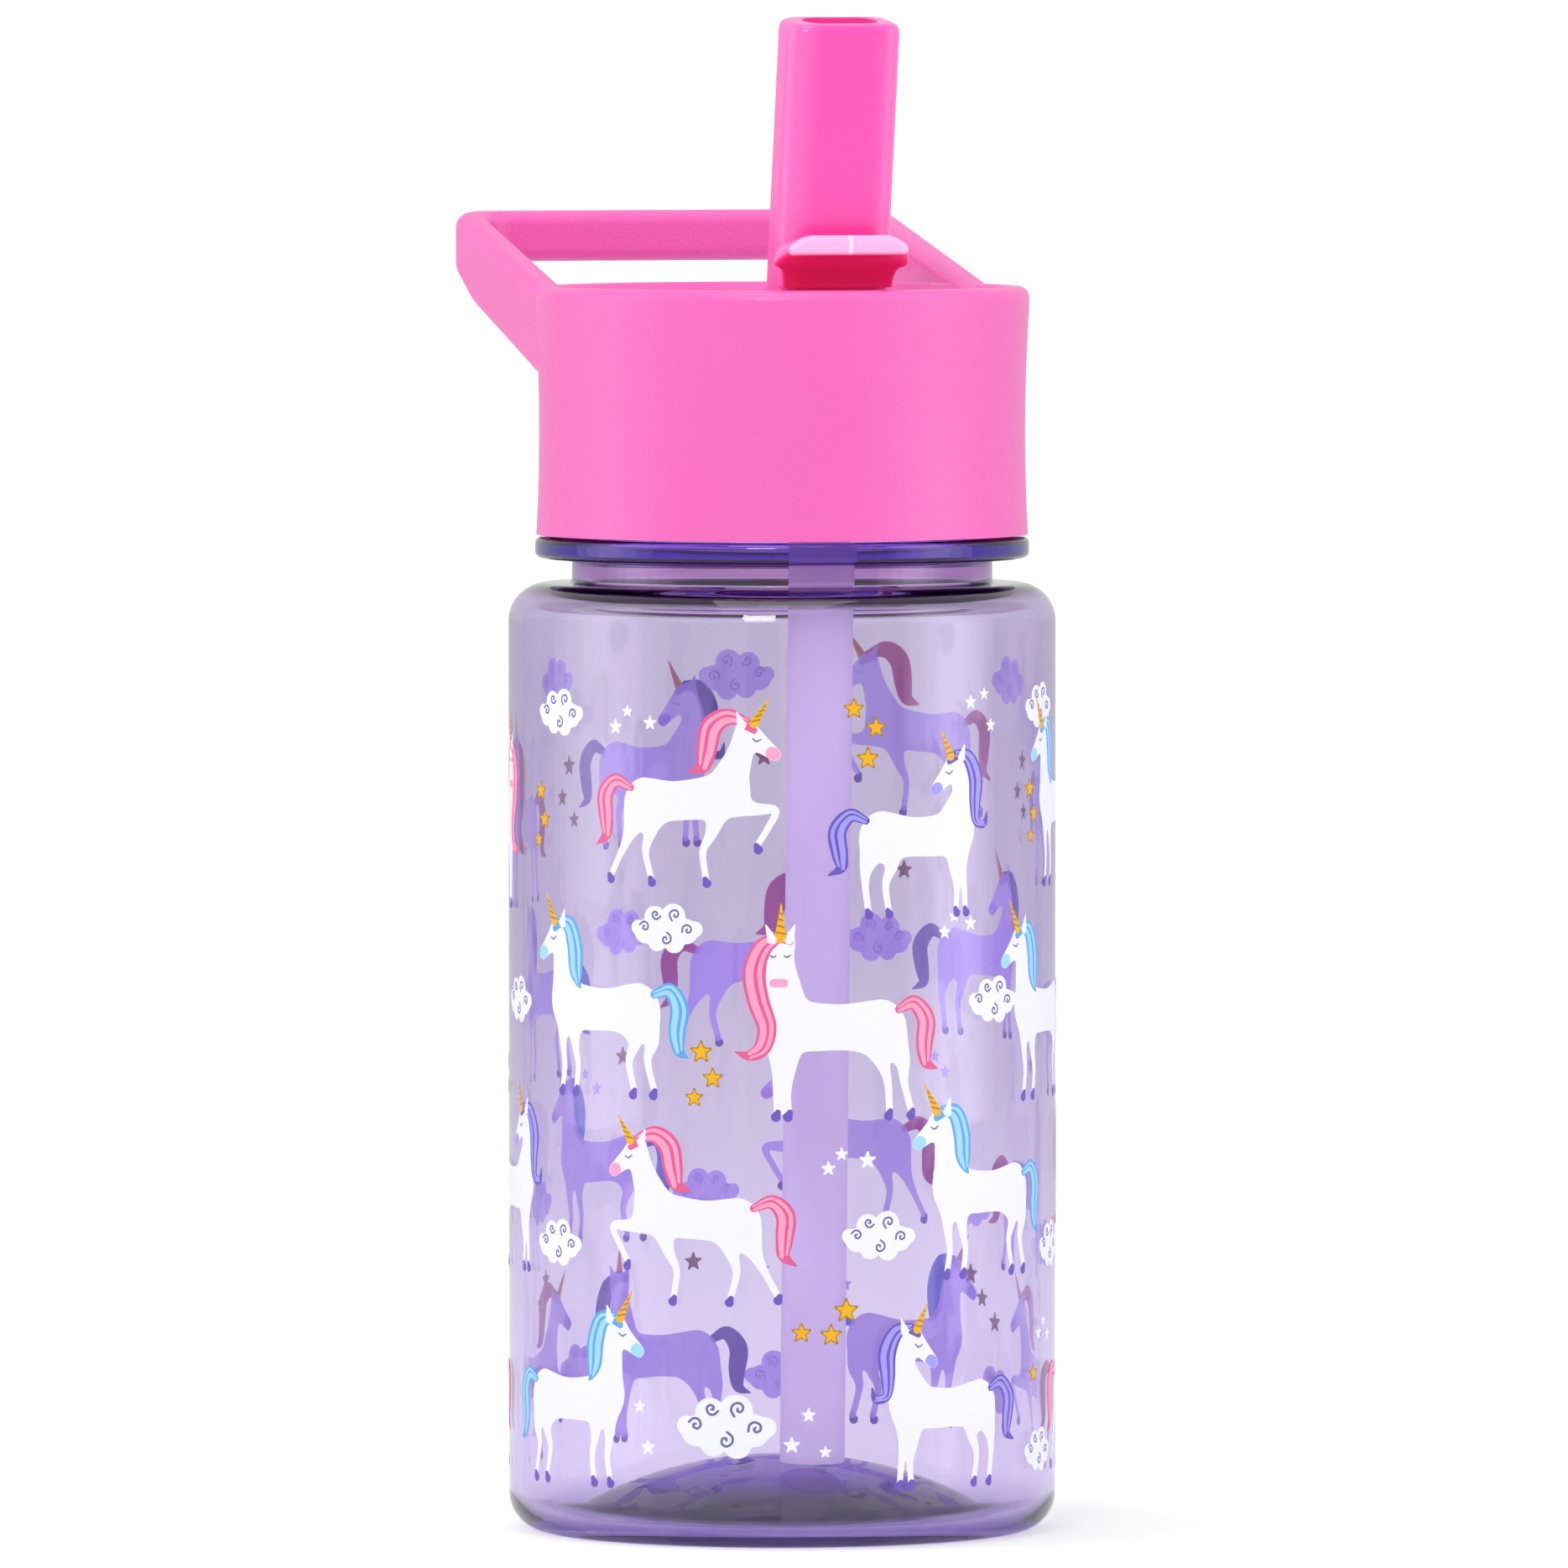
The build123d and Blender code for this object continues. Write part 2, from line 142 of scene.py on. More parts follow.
class Finish:
    """A new material around one Principled shader, with uniform values set on its sockets."""

    def __init__(self, name, **uniform):
        self.material = bpy.data.materials.new(name)
        self.material.use_nodes = True
        self.tree = self.material.node_tree
        self.shader = next(n for n in self.tree.nodes if n.type == "BSDF_PRINCIPLED")
        self.output = next(n for n in self.tree.nodes if n.type == "OUTPUT_MATERIAL")
        self.place = self.shade("ShaderNodeTexCoord").outputs["Object"]
        for key, value in uniform.items():
            self.set(key.replace("_", " "), value)

    def set(self, name, value):
        plug(self.tree, self.shader.inputs[name], value)

    def shade(self, kind, settings=None, **inputs):
        return Shade(self.tree, None).node(kind, settings, **inputs)

    def noise(self, scale, detail=2.0, roughness=0.5):
        """Value noise with features of 1/scale metres."""
        made = self.shade(
            "ShaderNodeTexNoise", Vector=self.place, Scale=scale, Detail=detail, Roughness=roughness
        )
        return Shade(self.tree, made.outputs["Fac"])

    def axis(self, name):
        """The X, Y or Z place on the piece, in metres."""
        made = self.shade("ShaderNodeSeparateXYZ", Vector=self.place)
        return Shade(self.tree, made.outputs[name])

    def outward(self):
        """1 where the surface faces away from the upright axis, -1 where it faces the axis."""
        normal = self.shade("ShaderNodeTexCoord").outputs["Normal"]
        made = self.shade("ShaderNodeSeparateXYZ", Vector=normal)
        out_x, out_y = (Shade(self.tree, made.outputs[name]) for name in "XY")
        x, y = self.axis("X"), self.axis("Y")
        return (x * out_x + y * out_y) / (x * x + y * y) ** 0.5

    def bump(self, height, distance, strength=1.0):
        made = self.shade("ShaderNodeBump", Height=height, Distance=distance, Strength=strength)
        self.set("Normal", made.outputs["Normal"])

    def let_through(self, colour, share):
        """Lets a share of the light through the piece instead of reflecting it."""
        glow = self.shade("ShaderNodeBsdfTranslucent", Color=(*colour, 1.0))
        swap = self.tree.nodes.new("ShaderNodeMixShader")
        swap.inputs[0].default_value = share
        self.tree.links.new(self.shader.outputs[0], swap.inputs[1])
        self.tree.links.new(glow.outputs[0], swap.inputs[2])
        self.tree.links.new(swap.outputs[0], self.output.inputs["Surface"])


# ------------------------------------------------------------------ finishes
def pink_lid_finish():
    """Hot pink moulded plastic with a fine spark-eroded grain."""
    finish = Finish("pink_lid", Specular_IOR_Level=0.55, Subsurface_Weight=0.12)
    finish.set("Subsurface Radius", (0.004, 0.0015, 0.0025))
    finish.set("Subsurface Scale", 1.0)
    cloud = finish.noise(60.0, 3.0)
    grain = finish.noise(2400.0, 2.0, 0.6)
    finish.set("Base Color", (cloud * 0.5 + 0.25).mix(PINK_LID_DEEP, PINK_LID))
    finish.set("Roughness", grain * 0.12 + 0.26)
    finish.bump(grain, 0.00012, 0.8)
    return finish.material


def pink_spout_finish():
    """The spout's glossier, more saturated pink, painted lighter towards its sides as a sheen, with a
    painted highlight on the thumb tab's front edge and painted shade in its hollow underside.
    """
    finish = Finish("pink_spout", Specular_IOR_Level=0.5, Subsurface_Weight=0.15)
    finish.set("Subsurface Radius", (0.004, 0.0012, 0.002))
    finish.set("Subsurface Scale", 1.0)
    cloud = finish.noise(45.0, 2.0)
    ripple = finish.noise(220.0, 2.0)
    corners = nodes["spout"].bound_box
    front = min(corner[1] for corner in corners)
    lip = max(corner[2] for corner in corners) - LIP_BELOW_TIP * MM
    side = (finish.axis("X") * finish.axis("X")) ** 0.5
    forward = finish.axis("Y") - front
    rise = finish.axis("Z") - lip
    out = (forward * forward + rise * rise) ** 0.5
    # painted shade in the hollow under the tab's curl
    under = (1.0 - out.smooth(5.4 * MM, 6.0 * MM)) * rise.smooth(-1.0 * MM, 0.0)
    # painted highlight along the thumb tab's front edge, lighter still on the mould line
    edge = (1.0 - forward.smooth(0.7 * MM, 1.3 * MM)) * out.smooth(5.2 * MM, 5.6 * MM)
    edge = edge * (1.0 - out.smooth(9.0 * MM, 10.0 * MM))
    seam = 1.0 - side.smooth(0.15 * MM, 0.3 * MM)
    plain = (cloud * 0.6 + 0.2).mix(PINK_SPOUT_DEEP, PINK_SPOUT)
    # painted highlight: the spout's pink turns lighter towards its sides, as a sheen
    wall = side.smooth(3.0 * MM, 7.0 * MM).mix(plain, PINK_SPOUT_SIDE_SHEEN)
    lip_highlight = (seam * 0.7).mix(PINK_LIP_HIGHLIGHT, (1.0, 0.8, 0.9))
    finish.set("Base Color", edge.mix(under.mix(wall, PINK_UNDER_SHADE), lip_highlight))
    finish.set("Roughness", ripple * 0.08 + 0.18)
    finish.bump(ripple, 0.00004, 0.35)
    return finish.material


def pink_liner_finish():
    finish = Finish("pink_liner", Specular_IOR_Level=0.45)
    swirl = finish.noise(120.0, 2.0)
    finish.set("Base Color", swirl.mix(PINK_LID_DEEP, PINK_LID))
    finish.set("Roughness", swirl * 0.1 + 0.3)
    finish.bump(swirl, 0.00003, 0.3)
    return finish.material


def silicone_finish():
    finish = Finish("silicone", Subsurface_Weight=0.35, Specular_IOR_Level=0.35)
    finish.set("Subsurface Radius", (0.003, 0.003, 0.003))
    finish.set("Subsurface Scale", 1.0)
    haze = finish.noise(300.0, 2.0)
    finish.set("Base Color", haze.mix((0.70, 0.69, 0.74), (0.80, 0.79, 0.83)))
    finish.set("Roughness", haze * 0.15 + 0.42)
    finish.bump(haze, 0.00003, 0.4)
    return finish.material


def straw_finish():
    """Frosted, milky lilac tube."""
    finish = Finish("frosted_straw", Subsurface_Weight=0.6, Specular_IOR_Level=0.4)
    finish.set("Subsurface Radius", (0.006, 0.005, 0.007))
    finish.set("Subsurface Scale", 1.0)
    haze = finish.noise(160.0, 2.0)
    finish.set("Base Color", haze.mix(STRAW_DEEP, STRAW))
    finish.set("Emission Color", STRAW)
    finish.set("Emission Strength", STRAW_GLOW)
    finish.set("Roughness", haze * 0.12 + 0.38)
    finish.bump(haze, 0.00003, 0.3)
    finish.let_through(STRAW, STRAW_THINNESS)
    return finish.material


def clear_bottle_finish():
    """Clear lavender copolyester: tinted by its depth, and darkened again by place on the rings and the
    dome, partly as deeper tint and partly as painted shade.
    """
    finish = Finish("clear_bottle", Transmission_Weight=1.0, IOR=1.5)
    finish.set("Roughness", 0.0)
    flow = finish.noise(38.0, 1.0)
    swirl = finish.noise(150.0, 3.0)
    x, y, z = (finish.axis(name) for name in "XYZ")
    spread = (x * x + y * y) ** 0.5
    # deeper tint of the thick plastic together with painted shade, by place on the flange ring, neck and
    # shoulder top
    ring = spread.smooth(27.2 * MM, 28.2 * MM) * z.smooth(123.6 * MM, 124.2 * MM)
    neck = spread.smooth(26.0 * MM, 26.8 * MM) * z.smooth(121.6 * MM, 122.4 * MM)
    top = spread.smooth(25.0 * MM, 27.0 * MM) * (1.0 - spread.smooth(31.0 * MM, 34.0 * MM))
    top = top * z.smooth(118.8 * MM, 119.4 * MM) * (1.0 - z.smooth(121.4 * MM, 122.0 * MM))
    # painted shade under the bottle: the dome turns deep violet, and nearly black towards its edge
    dome = (1.0 - spread.smooth(26.5 * MM, 29.5 * MM)) * (1.0 - z.smooth(10.0 * MM, 11.0 * MM))
    dome = dome * (swirl * 0.4 + 0.7)
    base = spread.smooth(10.0 * MM, 23.0 * MM).mix(DOME_TINT_AND_SHADE, DOME_EDGE_SHADE)
    finish.set(
        "Base Color",
        dome.mix(top.mix(ring.mix(neck.mix((1.0, 1.0, 1.0), NECK_TINT_AND_SHADE), RING_TINT_AND_SHADE), SHOULDER_TINT_AND_SHADE), base),
    )
    finish.bump(flow, 0.00012, 0.25)
    absorb = finish.shade("ShaderNodeVolumeAbsorption")
    absorb.inputs["Color"].default_value = (*BOTTLE_TINT, 1.0)
    absorb.inputs["Density"].default_value = BOTTLE_DENSITY
    finish.tree.links.new(absorb.outputs[0], finish.output.inputs["Volume"])
    veil = finish.shade("ShaderNodeBsdfTransparent")
    veil.inputs["Color"].default_value = (*BOTTLE_SHADOW, 1.0)
    path = finish.shade("ShaderNodeLightPath")
    swap = finish.tree.nodes.new("ShaderNodeMixShader")
    finish.tree.links.new(path.outputs["Is Shadow Ray"], swap.inputs[0])
    finish.tree.links.new(finish.shader.outputs[0], swap.inputs[1])
    finish.tree.links.new(veil.outputs[0], swap.inputs[2])
    finish.tree.links.new(swap.outputs[0], finish.output.inputs["Surface"])
    return finish.material


def ink_finish(name, colour):
    """Screen-printed ink: a mottled film that lets light through and gives off a little of its own."""
    finish = Finish("print_" + name, Specular_IOR_Level=0.5)
    mottle = finish.noise(700.0, 2.0)
    shade = tuple(c * 0.93 for c in colour)
    # the inner face, seen only through the bottle, gets painted lilac shade and glows lilac: painted light
    # for what comes through the tinted walls
    outside = finish.outward().smooth(-0.2, 0.2)
    inner = tuple(0.6 * c * u + 0.4 * v for c, u, v in zip(colour, UNDERSIDE_PAINTED_SHADE, UNDERSIDE_PAINTED_LIGHT))
    finish.set("Base Color", outside.mix(inner, mottle.mix(shade, colour)))
    finish.set("Emission Color", outside.mix(inner, colour))
    finish.set("Emission Strength", INK_GLOW)
    finish.set("Roughness", mottle * 0.1 + 0.24)
    finish.bump(mottle, 0.00001, 0.3)
    finish.let_through(colour, INK_THINNESS)
    return finish.material


PINK_LID = (0.80, 0.125, 0.45)
PINK_LID_DEEP = (0.74, 0.09, 0.40)
PINK_SPOUT = (0.95, 0.075, 0.42)
PINK_SPOUT_DEEP = (0.90, 0.05, 0.37)
# painted sheen on the spout's sides
PINK_SPOUT_SIDE_SHEEN = (0.95, 0.125, 0.46)
PINK_LIP_HIGHLIGHT = (0.95, 0.42, 0.70)  # painted highlight on the thumb tab's front edge
PINK_UNDER_SHADE = (0.92, 0.02, 0.15)  # painted shade in the thumb tab's hollow underside
LIP_BELOW_TIP = 35.4  # mm from the spout's tip down to the middle of the tab's curl
STRAW = (0.95, 0.87, 1.0)
STRAW_DEEP = (0.91, 0.81, 0.98)
STRAW_THINNESS = 0.4
STRAW_GLOW = 0.09  # set here; stands in for the light that scatters inside the wall
BOTTLE_TINT = (0.34, 0.10, 0.72)
BOTTLE_DENSITY = 158.0
BOTTLE_SHADOW = (0.99, 0.98, 1.0)
# deeper tint of the thick plastic together with painted shade, by place on the bottle
RING_TINT_AND_SHADE = (0.32, 0.10, 0.85)
SHOULDER_TINT_AND_SHADE = (0.22, 0.04, 0.15)
NECK_TINT_AND_SHADE = (0.80, 0.45, 0.72)
# the dome's deep violet is tint and painted shade; its edge is painted shade
DOME_TINT_AND_SHADE = (0.50, 0.17, 0.95)
DOME_EDGE_SHADE = (0.012, 0.004, 0.035)
UNDERSIDE_PAINTED_SHADE = (0.72, 0.44, 1.0)  # chosen; multiplies an ink's colour on its inner face, as painted lilac shade
UNDERSIDE_PAINTED_LIGHT = (0.62, 0.42, 0.95)  # chosen; painted lilac light mixed into the inner faces
INK_GLOW = 0.28  # the ink's own light, set here
INK_THINNESS = 0.45  # share of the light that comes through the ink
INKS = {
    "white": (0.88, 0.90, 0.98),
    "pink_light": (0.95, 0.44, 0.62),
    "pink_deep": (0.80, 0.15, 0.35),
    "blue_light": (0.42, 0.74, 0.94),
    "blue_deep": (0.15, 0.47, 0.78),
    "lilac_light": (0.44, 0.41, 0.86),
    "lilac_deep": (0.20, 0.13, 0.55),
    "gold": (0.87, 0.54, 0.01),
    "gold_deep": (0.50, 0.27, 0.005),
    "line": (0.20, 0.19, 0.36),
}


# ------------------------------------------------------------------ mesh helpers
def new_piece(name, mesh, material, body):
    piece = bpy.data.objects.new(name, mesh)
    bpy.context.scene.collection.objects.link(piece)
    mesh.materials.append(material)
    for face in mesh.polygons:
        face.use_smooth = True
    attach(piece, body)
    return piece


def rounded(points, radii, steps=8):
    """An open outline in the (r, z) plane whose inner corners are rounded by their radii."""
    outline = [Vector(points[0])]
    for before, corner, after, radius in zip(points, points[1:], points[2:], radii):
        corner = Vector(corner)
        to_before = (Vector(before) - corner).normalized()
        to_after = (Vector(after) - corner).normalized()
        half = to_before.angle(to_after) / 2
        reach = radius / math.tan(half) if radius else 0.0
        if not reach:
            outline.append(corner)
            continue
        middle = corner + (to_before + to_after).normalized() * (radius / math.sin(half))
        first = corner + to_before * reach - middle
        last = corner + to_after * reach - middle
        turn = first.angle_signed(last)
        for i in range(steps + 1):
            angle = -turn * i / steps
            outline.append(
                middle
                + Vector(
                    (
                        first.x * math.cos(angle) - first.y * math.sin(angle),
                        first.x * math.sin(angle) + first.y * math.cos(angle),
                    )
                )
            )
    outline.append(Vector(points[-1]))
    return outline


def lathe(outline, turns):
    """Revolves an (r, z) outline in mm whose two ends lie on the axis into a closed mesh."""
    made = bmesh.new()
    rings = []
    for r, z in outline:
        if r < 1e-6:
            rings.append([made.verts.new((0, 0, z * MM))])
            continue
        rings.append(
            [
                made.verts.new(
                    (
                        r * MM * math.cos(math.tau * i / turns),
                        r * MM * math.sin(math.tau * i / turns),
                        z * MM,
                    )
                )
                for i in range(turns)
            ]
        )
    for low, high in zip(rings, rings[1:]):
        for i in range(turns):
            j = (i + 1) % turns
            corners = [low[i % len(low)], low[j % len(low)], high[j % len(high)], high[i % len(high)]]
            unique = list(dict.fromkeys(corners))
            if len(unique) > 2:
                made.faces.new(unique)
    bmesh.ops.recalc_face_normals(made, faces=made.faces)
    return made


# ------------------------------------------------------------------ bottle
THREAD_BOTTOM = 132.5
THREAD_PITCH = 4.0
THREAD_TURNS = 1.25
THREAD_RUN_OUT = 0.06  # share of a turn over which the ridge's ends fade out
THREAD_DEPTH = 1.45
THREAD_HALF_WIDTH = 0.9
THREAD_FLANK = 3.0  # mm out for each mm across the ridge's side
THREADED_FROM = 131.0
THREADED_STEP = 0.25
THREADED_RINGS = 41
FINISH_RADIUS = 26.4
BORE_RADIUS = 24.4
NECK_RADIUS = 26.9
SHOULDER_TOP = 121.3
SHOULDER_INSIDE = 119.5
FLANGE_RADIUS = 31.6
WALL = 1.8
TURNS = 192
FLANGE_BOTTOM = 124.5
FLANGE_TOP = 127.2
FOOT_RADIUS = 27.6
FLOOR_THICKNESS = 2.2
DOME_HEIGHT = 7.4
DOME_STEPS = 18


def dome_rise(step):
    """Height of the pushed-up base, part of a ball, a number of steps out from the axis."""
    ball = (FOOT_RADIUS**2 + DOME_HEIGHT**2) / (2 * DOME_HEIGHT)
    return math.sqrt(ball**2 - (FOOT_RADIUS * step / DOME_STEPS) ** 2) - ball + DOME_HEIGHT


def thread_height(angle, z):
    """How far the screw thread stands out of the mouth's wall at an angle and a height."""
    ridge = 0.0
    for lap in range(math.ceil(THREAD_TURNS)):
        turn = angle / math.tau + lap
        if turn > THREAD_TURNS:
            continue
        ends = min(1.0, turn / THREAD_RUN_OUT, (THREAD_TURNS - turn) / THREAD_RUN_OUT)
        side = abs(z - THREAD_BOTTOM - THREAD_PITCH * turn)
        flank = max(0.0, (THREAD_HALF_WIDTH - side) * THREAD_FLANK)
        ridge = max(ridge, ends * min(THREAD_DEPTH, flank))
    return ridge


def build_bottle():
    """One-piece blown bottle: pushed-up base, straight wall, shoulder, flange and threaded mouth."""
    r = BODY_RADIUS / MM
    lip = LIP_HEIGHT / MM
    finish = [
        (FINISH_RADIUS, THREADED_FROM + THREADED_STEP * step) for step in range(THREADED_RINGS)
    ]
    dome = [(FOOT_RADIUS * step / DOME_STEPS, dome_rise(step)) for step in range(DOME_STEPS + 1)]
    over_dome = [(spread, rise + FLOOR_THICKNESS) for spread, rise in reversed(dome)]
    smooth = [0.0] * (DOME_STEPS - 1)
    outline = rounded(
        [
            *dome, (r, 0), (r, SHOULDER_TOP), (NECK_RADIUS, SHOULDER_TOP), (NECK_RADIUS, FLANGE_BOTTOM),
            (FLANGE_RADIUS, FLANGE_BOTTOM), (FLANGE_RADIUS, FLANGE_TOP), (FINISH_RADIUS, FLANGE_TOP),
            *finish, (FINISH_RADIUS, lip), (BORE_RADIUS, lip), (BORE_RADIUS, SHOULDER_INSIDE),
            (r - WALL, SHOULDER_INSIDE), (r - WALL, FLOOR_THICKNESS), *over_dome,
        ],
        [
            *smooth, 1.5, 4.8, 4.8, 0.5, 0.4, 0.8, 0.8, 0.4,
            *[0.0] * len(finish), 0.5, 0.5, 1.5, 3.0, 3.0, 1.5, *smooth,
        ],
    )
    made = lathe(outline, TURNS)
    for vert in made.verts:
        spread = math.hypot(vert.co.x, vert.co.y)
        if abs(spread - FINISH_RADIUS * MM) < 1e-6:
            angle = math.atan2(vert.co.y, vert.co.x) % math.tau
            grown = 1 + thread_height(angle, vert.co.z / MM) / FINISH_RADIUS
            vert.co.x *= grown
            vert.co.y *= grown
    mesh = bpy.data.meshes.new("bottle")
    made.to_mesh(mesh)
    made.free()
    bottle = new_piece("bottle", mesh, clear_bottle_finish(), "bottle")
    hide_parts("bottle_body")


